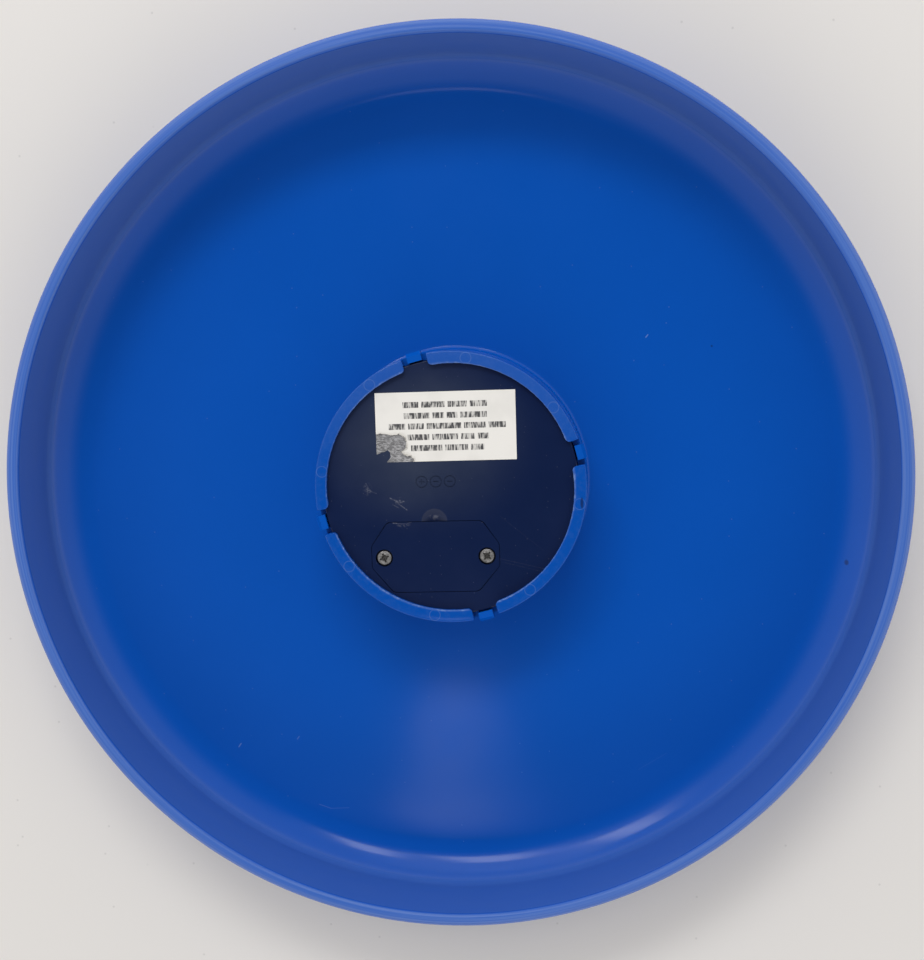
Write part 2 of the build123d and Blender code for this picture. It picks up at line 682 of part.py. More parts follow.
def button_cells():
    """Three button cells lying in a row along the trough."""
    x, y = DOOR_CENTRE
    cells = []
    for index in range(CELL_COUNT):
        start = x + CELL_START + CELL_PITCH * index
        can = Cylinder(CELL_RADIUS, CELL_CAN_THICKNESS, align=(Align.CENTER, Align.CENTER, Align.MIN))
        can = fillet(can.edges().filter_by(GeomType.CIRCLE), CELL_EDGE)
        cap = Cylinder(CELL_CAP_RADIUS, CELL_THICKNESS, align=(Align.CENTER, Align.CENTER, Align.MIN))
        cells.append(Pos(start, y, CELL_AXIS_LEVEL) * Rot(0.0, 90.0, 0.0) * (can + cap))
    return cells


def contact_plate(side):
    """A sprung steel contact at one end of the trough, with its tab through the board."""
    x, y = DOOR_CENTRE
    ends = sorted((x + side * CONTACT_INSET, x + side * (CONTACT_INSET - CONTACT_THICKNESS)))
    face = block(ends, (y - CONTACT_HALF_WIDTH, y + CONTACT_HALF_WIDTH), CONTACT_LEVELS)
    tab = block(ends, (y - CONTACT_TAB_HALF_WIDTH, y + CONTACT_TAB_HALF_WIDTH),
                (CONTACT_TAB_LOW, CONTACT_LEVELS[0] + JOIN))
    return face + tab


def contact_spring():
    """The conical coil that presses on the last cell."""
    x, y = DOOR_CENTRE
    foot = x + CONTACT_INSET - CONTACT_THICKNESS - SPRING_WIRE_RADIUS - STACK_GAP
    coil = Helix(pitch=SPRING_HEIGHT / SPRING_TURNS, height=SPRING_HEIGHT, radius=SPRING_RADIUS,
                 cone_angle=SPRING_CONE_ANGLE)
    section = Plane(origin=coil @ 0, z_dir=coil % 0) * Circle(SPRING_WIRE_RADIUS)
    wire = sweep(section, path=coil, is_frenet=True)
    return Pos(foot, y, CELL_AXIS_LEVEL) * Rot(0.0, -90.0, 0.0) * wire


def battery_pull_strip():
    """A thin film between the contact and the first cell, laid back over the cells."""
    x, y = DOOR_CENTRE
    left = x + CELL_START - STRIP_THICKNESS - 2.0 * STACK_GAP
    width = (y - STRIP_HALF_WIDTH, y + STRIP_HALF_WIDTH)
    level = CELL_AXIS_LEVEL + CELL_RADIUS + STACK_GAP
    leg = block((left, left + STRIP_THICKNESS), width, (STRIP_LOW, level + STRIP_THICKNESS))
    flap = block((left, left + STRIP_FLAP), width, (level, level + STRIP_THICKNESS))
    return leg + flap


# Electronics

def circuit_board():
    """The board under the trough, with slots for the contacts and holes for its screws."""
    board = prism(BOARD_OUTLINE, BOARD_BOTTOM, BOARD_TOP, BOARD_CORNER)
    through = (BOARD_BOTTOM - 1.0, BOARD_TOP + 1.0)
    for place in BOARD_POSTS:
        board -= round_bar(BOARD_SCREW_RADIUS + SCREW_PLAY, *through, place)
    for slot in contact_slots(CONTACT_TAB_HALF_WIDTH + SLOT_PLAY, *through):
        board -= slot
    return board


def chip_blob():
    """The bead of resin over the voice chip."""
    radius, height = CHIP_SIZE
    ball_radius = cap_ball_radius(radius, height)
    dome = Pos(*CHIP_PLACE, BOARD_TOP + height - ball_radius) * Sphere(ball_radius)
    return dome & round_bar(radius + 1.0, BOARD_TOP, BOARD_TOP + height + 1.0, CHIP_PLACE)


def electrolytic_capacitor():
    """An upright capacitor with a crimp near its foot."""
    radius, height = CAPACITOR_SIZE
    waist = radius - CAPACITOR_CRIMP
    top = BOARD_TOP + height
    crimp = [(radius, BOARD_TOP + CAPACITOR_CRIMP * rise) for rise in (3.0, 5.0)]
    outline = [(0.0, BOARD_TOP), (radius, BOARD_TOP), crimp[0]]
    outline += [(waist, BOARD_TOP + CAPACITOR_CRIMP * 4.0), crimp[1]]
    outline += [(radius, top - CAPACITOR_CRIMP), (waist, top), (0.0, top)]
    return spun(outline, CAPACITOR_PLACE)


def chip_resistors():
    """Small surface-mounted resistors on the board."""
    chip = Box(*RESISTOR_SIZE, align=(Align.CENTER, Align.CENTER, Align.MIN))
    return [Pos(*place, BOARD_TOP) * chip for place in RESISTOR_PLACES]


def switch_base(key):
    """The square body of one push switch, hanging under the board."""
    half = SWITCH_SIZE / 2.0
    x, y = key[:2]
    body = block((x - half, x + half), (y - half, y + half), (SWITCH_PLATE_LEVELS[1], BOARD_BOTTOM))
    return body - round_bar(PLUNGER_RADIUS + PLUNGER_PLAY, 0.0, SWITCH_BORE_TOP, (x, y))


def switch_plate(key):
    """The steel plate that closes one push switch."""
    half = SWITCH_SIZE / 2.0
    x, y = key[:2]
    plate = block((x - half, x + half), (y - half, y + half), SWITCH_PLATE_LEVELS)
    return plate - round_bar(PLUNGER_RADIUS + PLUNGER_PLAY, 0.0, DISC_HEIGHT, (x, y))


def plunger(key):
    """The round plunger that one key pushes into its switch."""
    return round_bar(PLUNGER_RADIUS, *PLUNGER_LEVELS, key[:2])


def push_key(key):
    """A key with a flange that keeps it in the housing and a stem that meets the plunger."""
    place, radius, flange_radius = key[:2], key[2], key[3]
    head = round_bar(radius, KEY_LEVEL, KEY_FLANGE[1], place)
    head = fillet(head.edges().filter_by(GeomType.CIRCLE).sort_by(Axis.Z)[0], KEY_EDGE)
    head += round_bar(flange_radius, *KEY_FLANGE, place)
    return head + round_bar(KEY_STEM_RADIUS, KEY_FLANGE[0], PLUNGER_LEVELS[0], place)


def microphone_capsule():
    """The electret capsule with its two leads up to the board."""
    x, y = MICROPHONE_PLACE
    lead_radius, lead_offset = MICROPHONE_LEAD
    capsule = round_bar(CAPSULE_RADIUS, *CAPSULE_LEVELS, MICROPHONE_PLACE)
    for side in (-1.0, 1.0):
        place = (x + side * lead_offset, y)
        capsule += round_bar(lead_radius, CAPSULE_LEVELS[1] - JOIN, BOARD_BOTTOM, place)
    return capsule


def microphone_boot():
    """The rubber tube that seals the capsule to the housing."""
    return tube(BOOT_RADIUS, CAPSULE_RADIUS, FLOOR_TOP, BOOT_TOP, MICROPHONE_PLACE)


# Loudspeaker

def speaker_gasket():
    """The foam ring between the basket's flange and the housing."""
    return tube(SPEAKER_RADIUS - SCREW_PLAY, GASKET_INNER_RADIUS, FLOOR_TOP, GASKET_TOP, SPEAKER_PLACE)


def speaker_frame():
    """The steel basket, with windows behind its cone."""
    low, high = SPEAKER_FLANGE
    floor, top = BASKET_LEVELS
    wide_outside, wide_inside, narrow_outside, narrow_inside, hole = BASKET_RADII
    frame = spun((
        (SPEAKER_RADIUS, low),
        (SPEAKER_RADIUS, high),
        (wide_outside, high),
        (narrow_outside, top),
        (hole, top),
        (hole, floor),
        (narrow_inside, floor),
        (wide_inside, low),
    ), SPEAKER_PLACE)
    window = block(WINDOW_RADII, (-WINDOW_HALF_WIDTH, WINDOW_HALF_WIDTH), (high + JOIN, WINDOW_TOP))
    for turned in copies_round(window, WINDOW_COUNT, 180.0 / WINDOW_COUNT):
        frame -= Pos(*SPEAKER_PLACE, 0.0) * turned
    return frame


def speaker_magnet():
    """The ferrite ring on the basket."""
    return tube(*MAGNET_RADII, BASKET_LEVELS[1], MAGNET_TOP, SPEAKER_PLACE)


def speaker_yoke():
    """The back plate and the pole inside the voice coil."""
    plate = round_bar(YOKE_RADIUS, MAGNET_TOP, YOKE_TOP, SPEAKER_PLACE)
    return plate + round_bar(POLE_RADIUS, BASKET_LEVELS[0], MAGNET_TOP + JOIN, SPEAKER_PLACE)


def voice_coil():
    """The coil that stands on the cone, in the magnet's gap."""
    return tube(*COIL_RADII, *COIL_LEVELS, SPEAKER_PLACE)


def speaker_cone():
    """The thin cone with its rolled edge and its dome."""
    middle = CONE_ROLL + CONE_MIDDLE
    upper = [(radius, level + CONE_THICKNESS / 2.0) for radius, level in middle]
    lower = [(radius, level - CONE_THICKNESS / 2.0) for radius, level in reversed(middle)]
    return spun(upper + lower, SPEAKER_PLACE)


def speaker_terminals():
    """The small board that the wires are soldered to, cut to fit round the magnet."""
    length, width, thickness = TERMINAL_SIZE
    magnet_radius = MAGNET_RADII[0]
    board = Box(length, width, thickness, align=(Align.CENTER, Align.CENTER, Align.MIN))
    board = Pos(SPEAKER_PLACE[0], SPEAKER_PLACE[1] - TERMINAL_OFFSET, BASKET_LEVELS[1]) * board
    return board - round_bar(magnet_radius + STACK_GAP, BASKET_LEVELS[1], MAGNET_TOP, SPEAKER_PLACE)


def speaker_wire(start_x, end_x, hump):
    """One insulated wire from a terminal over to the board."""
    terminal_top = BASKET_LEVELS[1] + TERMINAL_SIZE[2] + WIRE_RADIUS
    points = (
        (start_x, WIRE_START_Y, terminal_top),
        (start_x + 1.0, WIRE_START_Y - 3.0, hump),
        (end_x - 1.0, WIRE_END_Y + 5.2, hump + 1.2),
        (end_x, WIRE_END_Y, hump),
        (end_x, WIRE_END_Y, BOARD_TOP),
    )
    path = FilletPolyline(*points, radius=WIRE_BEND)
    section = Plane(origin=path @ 0, z_dir=path % 0) * Circle(WIRE_RADIUS)
    return sweep(section, path=path)


# Label

def paper_label():
    """The paper rectangle, without its torn-off corner."""
    width, height = LABEL_SIZE
    left, bottom = LABEL_CENTRE[0] - width / 2.0, LABEL_CENTRE[1] - height / 2.0
    outline = [(left + width, bottom), (left + width, bottom + height), (left, bottom + height)]
    outline += [(left + x, bottom + y) for x, y in reversed(TORN_EDGE)]
    return prism(outline, COVER_TOP, COVER_TOP + LABEL_THICKNESS)


def nodes():
    """Every piece by name. A list is a group of separate solids in one node."""
    return {
        "disc_shell": disc_shell(),
        "latch_ring": latch_ring(),
        "front_housing": front_housing(),
        "back_cover": back_cover(),
        "battery_door": battery_door(),
        "door_screws": door_screws(),
        "housing_screws": housing_screws(),
        "board_screws": board_screws(),
        "paper_label": paper_label(),
        "button_cells": button_cells(),
        "positive_contact": contact_plate(-1.0),
        "negative_contact": contact_plate(1.0),
        "contact_spring": contact_spring(),
        "battery_pull_strip": battery_pull_strip(),
        "circuit_board": circuit_board(),
        "chip_blob": chip_blob(),
        "electrolytic_capacitor": electrolytic_capacitor(),
        "chip_resistors": chip_resistors(),
        "switch_bases": [switch_base(PLAY_KEY), switch_base(RECORD_KEY)],
        "switch_plates": [switch_plate(PLAY_KEY), switch_plate(RECORD_KEY)],
        "play_plunger": plunger(PLAY_KEY),
        "record_plunger": plunger(RECORD_KEY),
        "play_button": push_key(PLAY_KEY),
        "record_button": push_key(RECORD_KEY),
        "microphone_capsule": microphone_capsule(),
        "microphone_boot": microphone_boot(),
        "speaker_gasket": speaker_gasket(),
        "speaker_frame": speaker_frame(),
        "speaker_magnet": speaker_magnet(),
        "speaker_yoke": speaker_yoke(),
        "voice_coil": voice_coil(),
        "speaker_cone": speaker_cone(),
        "speaker_terminals": speaker_terminals(),
        "speaker_wire_red": speaker_wire(*RED_WIRE),
        "speaker_wire_black": speaker_wire(*BLACK_WIRE),
    }


def main():
    os.makedirs("parts", exist_ok=True)
    for name, shape in nodes().items():
        pieces = shape if isinstance(shape, list) else [shape]
        solids = [solid for piece in pieces for solid in piece.solids()]
        shape_out = Compound(children=solids) if len(solids) > 1 else solids[0]
        export_step(shape_out, f"parts/{name}.step")


main()
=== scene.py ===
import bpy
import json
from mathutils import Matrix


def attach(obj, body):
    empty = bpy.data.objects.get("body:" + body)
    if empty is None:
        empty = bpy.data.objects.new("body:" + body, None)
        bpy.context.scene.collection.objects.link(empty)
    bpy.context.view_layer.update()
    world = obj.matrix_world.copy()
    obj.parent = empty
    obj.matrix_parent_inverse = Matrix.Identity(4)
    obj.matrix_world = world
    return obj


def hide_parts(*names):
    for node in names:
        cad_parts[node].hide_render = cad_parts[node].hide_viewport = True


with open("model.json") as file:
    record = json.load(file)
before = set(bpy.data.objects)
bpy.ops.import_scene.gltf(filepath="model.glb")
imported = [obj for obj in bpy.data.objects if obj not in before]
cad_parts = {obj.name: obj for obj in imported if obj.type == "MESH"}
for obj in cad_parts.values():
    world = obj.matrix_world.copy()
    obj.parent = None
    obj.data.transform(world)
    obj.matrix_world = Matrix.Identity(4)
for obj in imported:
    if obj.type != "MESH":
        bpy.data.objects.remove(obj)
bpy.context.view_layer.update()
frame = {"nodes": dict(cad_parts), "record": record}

import json
import math
import random

import bmesh
import bpy
from mathutils import Matrix, Vector, noise

MM = 0.001

# Camera: place, the point it looks at and the direction that is up in the picture
CAMERA_PLACE = Vector((0.0237, 0.0297, 0.3412))
CAMERA_TARGET = Vector((0.0033, 0.0020, 0.0270))
PICTURE_UP = Vector((0.0292, 0.9956, 0.0))
LENS_MM = 44.8
SENSOR_MM = 36.0

# Room: its brightness for soft light, and what gloss shows of it, by the height of the direction
ROOM_COLOUR = (1.0, 0.985, 0.97)
ROOM_STRENGTH = 1.02
ROOM_STOPS = ((0.0, 1.0), (0.62, 0.98), (0.80, 0.50), (0.97, 0.06), (1.0, 0.05))
GLOSS_STOPS = ((0.0, 0.66), (0.21, 0.60), (0.81, 0.42), (0.94, 0.11), (0.978, 0.06), (1.0, 0.06))

# Soft cards in the room: zenith angle, azimuth, inner and outer radius in degrees, colour
CARDS = (
    (17.5, 256.0, 1.2, 2.5, (1.15, 1.06, 1.00)),
    (34.0, 103.0, 4.0, 22.0, (0.42, 0.40, 0.42)),
)

# Lamps: name, zenith angle, azimuth, distance, size, watts, and whether gloss shows it
LAMPS = (
    ("key", 47.0, 97.0, 1.5, (0.9, 0.30), 8.5, False),
    ("fill", 62.0, 268.0, 1.5, (1.2, 0.40), 3.2, False),
    ("left_spot", 24.0, 81.0, 1.5, (0.10, 0.32), 0.32, True),
    ("middle_spot", 23.5, 104.0, 1.5, (0.14, 0.30), 0.40, True),
    ("right_spot", 36.0, 125.0, 1.5, (0.12, 0.50), 0.60, True),
)

FLOOR_HALF = 8.0
FLOOR_COLOUR = (0.76, 0.740, 0.715)

# Colours of the object's surfaces, linear
DISC_BLUE = (0.0008, 0.083, 0.455)
WALL_GREY = (0.070, 0.140, 0.400)
# Pale blue of wear, flash, pin marks and scratches, also used for a painted sheen on the collar's top
WEAR_AND_SHEEN_PALE = (0.30, 0.42, 0.66)
MODULE_BLACK = (0.0030, 0.0100, 0.046)
SCUFF_PALE = (0.22, 0.23, 0.28)
# Pale grey of the painted reflection on the cover's top, partly a dusty film
MODULE_PAINTED_REFLECTION = (0.040, 0.052, 0.084)
LABEL_WHITE = (0.80, 0.785, 0.75)
PRINT_GREY = (0.06, 0.06, 0.065)
FIBRE_GREY = (0.30, 0.30, 0.31)
STEEL = (0.66, 0.655, 0.65)
# Darker tone low down in the screws' cross recess
STEEL_RECESS_DARK = (0.30, 0.295, 0.29)

# Section of the disc, in millimetres: within 0.8 mm of the CAD model's, and drawn in finer steps
CROWN_LEVEL = 1.8
PLATE_LEVEL = 4.0
PLATE_RADIUS = 108.9
PLATE_DOME = 0.8
PLATE_CURVE = 6.0
CROWN_CURVE = 2.0
SHOULDER_START = 4.2
SHOULDER_LEVEL = 21.8
SHOULDER_INSIDE = 17.0
SHOULDER_OUTSIDE = 19.2
OUTSIDE_ANGLE = 43.0
TURN_RADIUS = 5.0
TURN_END = 87.0
WALL_FOOT_RADIUS = 120.54
WALL_FOOT_FILLET = 4.0
WALL_TOP = (120.9, 29.0)
LIP_ROUND = 1.0
LIP_TOP_END = 122.4
EQUATOR = (125.0, 27.0)
LAND_RADIUS = 44.0
SECTION_STEPS = {
    "collar_foot": 6,
    "plate": 60,
    "shoulder": 36,
    "wall_foot": 14,
    "lip_inside": 8,
    "lip_outside": 12,
    "turn": 10,
    "outside": 14,
    "crown": 20,
}

# Collar and its lips, in millimetres and degrees; a lip's trims widen its opening at start, middle and end
COLLAR_BORE = 35.7
COLLAR_FOOT = (38.3, 5.2)
COLLAR_FOOT_FILLET = 1.2
COLLAR_SHOULDER = (37.5, 27.6)
COLLAR_TOP = 28.0
GAP_FLOOR = 22.0
GAP_ANGLE = 11.0
LATCH_ANGLE = 14.0
LATCH_COUNT = 4
LIP_OPENING = 34.0
LIP_TRIMS = ((0.1, 0.35, -0.1), (-0.1, 0.3, 0.2), (0.15, 0.0, 0.1), (0.0, 0.25, -0.2))
LIP_THICKNESS = 1.3
LIP_CORNER = 1.3
LIP_CORNER_RUNS = (0.35, 0.6, 0.95)
LIP_EDGE = 0.25
END_BEVEL = 0.15
FLASH_RIPPLE = 0.07
LIP_STEPS = 84
GAP_STEPS = 10
PIN_MARK_COUNT = 8
PIN_MARK_RADIUS = 1.6
PIN_MARK_LINE = 0.22
PIN_MARK_BLUR = 0.10

# Module and label, in millimetres; a print row is its distance from the top, its start and its end
COVER_TOP = 26.6
LABEL_CORNER = (-20.1, 7.35)
LABEL_SIZE = (38.6, 19.1)
LABEL_THICKNESS = 0.12
LABEL_SEEDS = {"tear": 11, "hole": 7, "words": 3}
TORN_LAYER = ((10.1, 0.0), (10.2, 0.6), (9.5, 1.4), (8.2, 1.7), (6.7, 2.7), (8.2, 3.8), (8.2, 5.4),
              (7.9, 6.6), (6.2, 7.9), (5.5, 7.5), (3.9, 7.4), (1.2, 8.0), (0.0, 7.8))
TORN_HOLE = ((0.0, 2.2), (1.3, 2.8), (2.3, 2.9), (3.1, 3.4), (3.8, 2.5), (3.9, 1.4), (3.2, 0.6),
             (2.8, 0.0))
FIBRE_THICKNESS = 0.05
CURL_HEIGHT = 0.45
CURL_WIDTH = 0.55
PRINT_ROWS = (
    (3.5, 7.6, 30.8),
    (6.5, 7.9, 30.7),
    (9.4, 3.6, 35.8),
    (12.4, 8.8, 31.1),
    (15.4, 9.6, 29.8),
)
PRINT_HEIGHT = 1.6
PRINT_THICKNESS = 0.01
WORD_LENGTHS = (2.8, 9.5)
WORD_GAP = 0.8

# Marks of use, a painted reflection and a painted shadow, in millimetres: scratches are start, end, width
# and strength, scuffs centre and size
COVER_SCRATCHES = (
    ((13.1, -20.1), (25.1, -23.1), 0.10, 0.12),
    ((13.6, -21.0), (24.6, -23.9), 0.08, 0.08),
    ((13.5, -8.3), (25.3, -18.1), 0.08, 0.06),
    ((-16.8, -2.6), (-14.2, -4.0), 0.22, 0.40),
    ((-14.2, -4.0), (-13.0, -3.6), 0.25, 0.45),
    ((-14.6, -4.2), (-12.2, -6.0), 0.22, 0.30),
    ((-16.2, -4.4), (-14.4, -5.4), 0.16, 0.22),
    ((-23.4, 1.6), (-22.2, -0.6), 0.20, 0.30),
    ((-22.2, -0.6), (-20.6, -1.2), 0.18, 0.20),
    ((-16.2, -9.6), (-13.0, -9.9), 0.22, 0.35),
    ((-13.0, -9.9), (-11.2, -9.5), 0.16, 0.25),
)
# Centre and size of the cover's pale patch: a painted reflection, partly a dusty film
REFLECTION_PATCH = ((-8.0, 14.0), (36.0, 30.0))
COVER_SCUFFS = (
    ((-23.0, 0.0), (1.5, 2.2)),
    ((-14.3, -3.4), (2.6, 1.4)),
    ((-13.4, -10.2), (2.4, 0.7)),
    ((-4.7, -8.2), (2.6, 1.0)),
)
PLATE_SCRATCHES = (
    ((-44.5, -98.0), (-41.0, -99.3), 0.16, 0.14),
    ((-41.0, -99.3), (-35.5, -99.2), 0.14, 0.12),
    ((-68.6, -79.9), (-67.9, -78.9), 0.22, 0.30),
    ((-50.6, -77.8), (-50.0, -77.0), 0.22, 0.20),
    ((56.2, 40.1), (56.8, 40.8), 0.22, 0.35),
    ((-75.4, -92.9), (-74.8, -92.1), 0.24, 0.20),
    ((52.0, -88.0), (60.5, -83.0), 0.09, 0.06),
)
DARK_SPOTS = (
    ((112.4, -26.3), (0.7, 1.0)),
    ((75.0, 37.0), (0.4, 0.4)),
)
# Painted shadow: centre and size of a dark patch on the collar's lip at the right
LIP_PAINTED_SHADOW = ((35.95, -5.0), (0.55, 2.0))

# Where the surfaces change, in metres: the radii, levels or places along Y that a mask changes between
WALL_FOOT = (0.1184, 0.1204)
WALL_BACK = (0.1222, 0.1228)
WALL_HEAD = (0.0284, 0.0292)
# Places along Y where the wall's haze goes from weaker at the bottom, a painted shade, to full at the top
WALL_SHADE_SPAN = 0.120
RIM_LIP_LEVEL = (0.0287, 0.0296)
RIM_LIP_RADIUS = (0.118, 0.119)
COLLAR_LEVEL = (0.0274, 0.0279)
COLLAR_RADIUS = (0.039, 0.040)
# Places along Y where the collar's top takes on a painted sheen
COLLAR_PAINTED_SHEEN = (0.0, 0.030)
FLASH_RADIUS = (0.0341, 0.0347)
PLATE_END = (0.112, 0.116)
COVER_LEVEL = (0.0255, 0.0260)
RECESS_TOP = (0.02605, 0.02625)
RECESS_FOOT = (0.024, 0.0245)

# Roughness and how metallic each class of finish in the record is
FINISHES = {
    "gloss_plastic": (0.28, 0.0),
    "matte_plastic": (0.52, 0.0),
    "rubber": (0.70, 0.0),
    "chrome": (0.22, 1.0),
    "brushed_steel": (0.34, 1.0),
    "brass": (0.38, 1.0),
    "aluminium": (0.40, 1.0),
    "painted_metal": (0.45, 0.6),
    "cast_iron": (0.62, 0.2),
}


class Shading:
    """A node tree, with short calls that add its shader nodes."""

    def __init__(self, tree):
        self.tree = tree

    def feed(self, socket, value):
        """Links a node's output to a socket, or stores a constant in it."""
        if isinstance(value, bpy.types.NodeSocket):
            self.tree.links.new(value, socket)
        elif socket.type == "RGBA" and len(value) == 3:
            socket.default_value = (*value, 1.0)
        else:
            socket.default_value = value

    def add(self, kind, **settings):
        """A new node with its own settings."""
        node = self.tree.nodes.new("ShaderNode" + kind)
        for name, value in settings.items():
            setattr(node, name, value)
        return node

    def place(self):
        """The surface point in metres in the part's frame."""
        return self.add("TexCoord").outputs["Object"]

    def parts(self, vector):
        """The three components of a vector."""
        node = self.add("SeparateXYZ")
        self.feed(node.inputs[0], vector)
        return node.outputs

    def joined(self, x, y, z):
        """A vector from three components."""
        node = self.add("CombineXYZ")
        for socket, value in zip(node.inputs, (x, y, z)):
            self.feed(socket, value)
        return node.outputs[0]

    def math(self, operation, *values):
        """A scalar result of one math operation."""
        node = self.add("Math", operation=operation)
        for socket, value in zip(node.inputs, values):
            self.feed(socket, value)
        return node.outputs[0]

    def vector_math(self, operation, *values):
        """A vector operation; a scale or a scalar result is handled too."""
        node = self.add("VectorMath", operation=operation)
        if operation == "SCALE":
            self.feed(node.inputs[0], values[0])
            self.feed(node.inputs["Scale"], values[1])
        else:
            for socket, value in zip(node.inputs, values):
                self.feed(socket, value)
        scalar = operation in ("DOT_PRODUCT", "LENGTH", "DISTANCE")
        return node.outputs["Value" if scalar else "Vector"]

    def product(self, *values):
        """All the values multiplied together."""
        result = values[0]
        for value in values[1:]:
            result = self.math("MULTIPLY", result, value)
        return result

    def most(self, values):
        """The largest of several values."""
        result = values[0]
        for value in values[1:]:
            result = self.math("MAXIMUM", result, value)
        return result

    def step(self, value, low, high, first=0.0, last=1.0):
        """A smooth change from first at low to last at high."""
        node = self.add("MapRange", interpolation_type="SMOOTHSTEP")
        for name, number in (("Value", value), ("From Min", low), ("From Max", high),
                             ("To Min", first), ("To Max", last)):
            self.feed(node.inputs[name], number)
        return node.outputs["Result"]

    def span(self, value, low, high, edge):
        """1 where value lies between low and high, with soft edges."""
        rise = self.step(value, low - edge, low + edge)
        fall = self.step(value, high - edge, high + edge, 1.0, 0.0)
        return self.math("MULTIPLY", rise, fall)

    def mix(self, factor, first, second):
        """A colour between first and second."""
        node = self.add("Mix", data_type="RGBA")
        for index, value in ((0, factor), (6, first), (7, second)):
            self.feed(node.inputs[index], value)
        return node.outputs[2]

    def ramp(self, value, stops):
        """A grey level that follows (value, level) stops."""
        node = self.add("ValToRGB")
        elements = node.color_ramp.elements
        for place, level in stops[1:-1]:
            elements.new(place).color = (level, level, level, 1.0)
        for element, (place, level) in ((elements[0], stops[0]), (elements[-1], stops[-1])):
            element.position = place
            element.color = (level, level, level, 1.0)
        self.feed(node.inputs[0], value)
        return node.outputs[0]


def tinted(colour, gain):
    """A colour made brighter or darker."""
    return [value * gain for value in colour]


class Paint(Shading):
    """One material for the object or the floor."""

    def __init__(self, name, **settings):
        self.material = bpy.data.materials.new(name)
        self.material.use_nodes = True
        super().__init__(self.material.node_tree)
        self.shader = self.tree.nodes["Principled BSDF"]
        self.set(**settings)

    def set(self, **settings):
        """Sets or links the shader's sockets; Base_Color stands for the socket Base Color."""
        for name, value in settings.items():
            self.feed(self.shader.inputs[name.replace("_", " ")], value)

    def noise(self, scale, detail=2.0, roughness=0.5, vector=None):
        """A noise value from 0 to 1; scale is in features per metre."""
        node = self.add("TexNoise")
        self.feed(node.inputs["Vector"], self.place() if vector is None else vector)
        for name, value in (("Scale", scale), ("Detail", detail), ("Roughness", roughness)):
            self.feed(node.inputs[name], value)
        return node.outputs["Fac"]

    def stretched(self, factors, turn=0.0):
        """The surface point, turned about Z and scaled by factors, for streaks."""
        node = self.add("Mapping")
        self.feed(node.inputs["Vector"], self.place())
        self.feed(node.inputs["Rotation"], (0.0, 0.0, turn))
        self.feed(node.inputs["Scale"], factors)
        return node.outputs[0]

    def specks(self, spacing, size):
        """1 in small round specks that lie spacing apart on average; both in metres."""
        node = self.add("TexVoronoi", voronoi_dimensions="2D")
        self.feed(node.inputs["Vector"], self.place())
        self.feed(node.inputs["Scale"], 1.0 / spacing)
        chance = self.step(self.parts(node.outputs["Color"])[0], 0.80, 0.82)
        edge = size / spacing
        return self.product(self.step(node.outputs["Distance"], 0.3 * edge, edge, 1.0, 0.0), chance)

    def bump(self, height, strength, distance):
        """A normal from a height value."""
        node = self.add("Bump")
        for name, value in (("Height", height), ("Strength", strength), ("Distance", distance)):
            self.feed(node.inputs[name], value)
        return node.outputs["Normal"]

    def flat_place(self):
        """The surface point with its level left out."""
        x, y, level = self.parts(self.place())
        return self.joined(x, y, 0.0)

    def radius(self):
        """Distance from the disc's axis."""
        return self.vector_math("LENGTH", self.flat_place())

    def scratch(self, start, end, width, strength):
        """The strength on a thin line between two (x, y) points; lengths in millimetres."""
        first = Vector((*start, 0.0)) * MM
        along = Vector((*end, 0.0)) * MM - first
        offset = self.vector_math("SUBTRACT", self.flat_place(), tuple(first))
        reach = self.vector_math("DOT_PRODUCT", offset, tuple(along / along.length_squared))
        held = self.add("Clamp")
        self.feed(held.inputs["Value"], reach)
        nearest = self.vector_math("SCALE", tuple(along), held.outputs[0])
        distance = self.vector_math("DISTANCE", offset, nearest)
        return self.step(distance, 0.3 * width * MM, width * MM, strength, 0.0)

    def scuff(self, centre, size, softness=0.5):
        """1 inside an ellipse at an (x, y) point; everything in millimetres."""
        offset = self.vector_math("SUBTRACT", self.flat_place(), (centre[0] * MM, centre[1] * MM, 0.0))
        scaled = self.vector_math("MULTIPLY", offset, (1.0 / (size[0] * MM), 1.0 / (size[1] * MM), 0.0))
        return self.step(self.vector_math("LENGTH", scaled), 1.0 - softness, 1.0, 1.0, 0.0)


def camera_turn(forward, up):
    """The rotation of a camera that looks along forward, with up towards the picture's top."""
    back = -forward.normalized()
    right = up.cross(back).normalized()
    return Matrix((right, back.cross(right), back)).transposed().to_quaternion()


def add_camera():
    """The camera, over the disc and a little off its axis."""
    camera = bpy.data.objects.new("camera", bpy.data.cameras.new("camera"))
    bpy.context.scene.collection.objects.link(camera)
    camera.data.sensor_fit = "HORIZONTAL"
    camera.data.sensor_width = SENSOR_MM
    camera.data.lens = LENS_MM
    camera.data.clip_start = 0.01
    camera.location = CAMERA_PLACE
    camera.rotation_mode = "QUATERNION"
    camera.rotation_quaternion = camera_turn(CAMERA_TARGET - CAMERA_PLACE, PICTURE_UP)
    bpy.context.scene.camera = camera


def sky_direction(zenith_angle, azimuth):
    """A unit vector at an angle in degrees from straight up, towards an azimuth."""
    away = math.sin(math.radians(zenith_angle))
    turn = math.radians(azimuth)
    return Vector((away * math.cos(turn), away * math.sin(turn), math.cos(math.radians(zenith_angle))))


def cos_degrees(angle):
    """The cosine of an angle in degrees."""
    return math.cos(math.radians(angle))


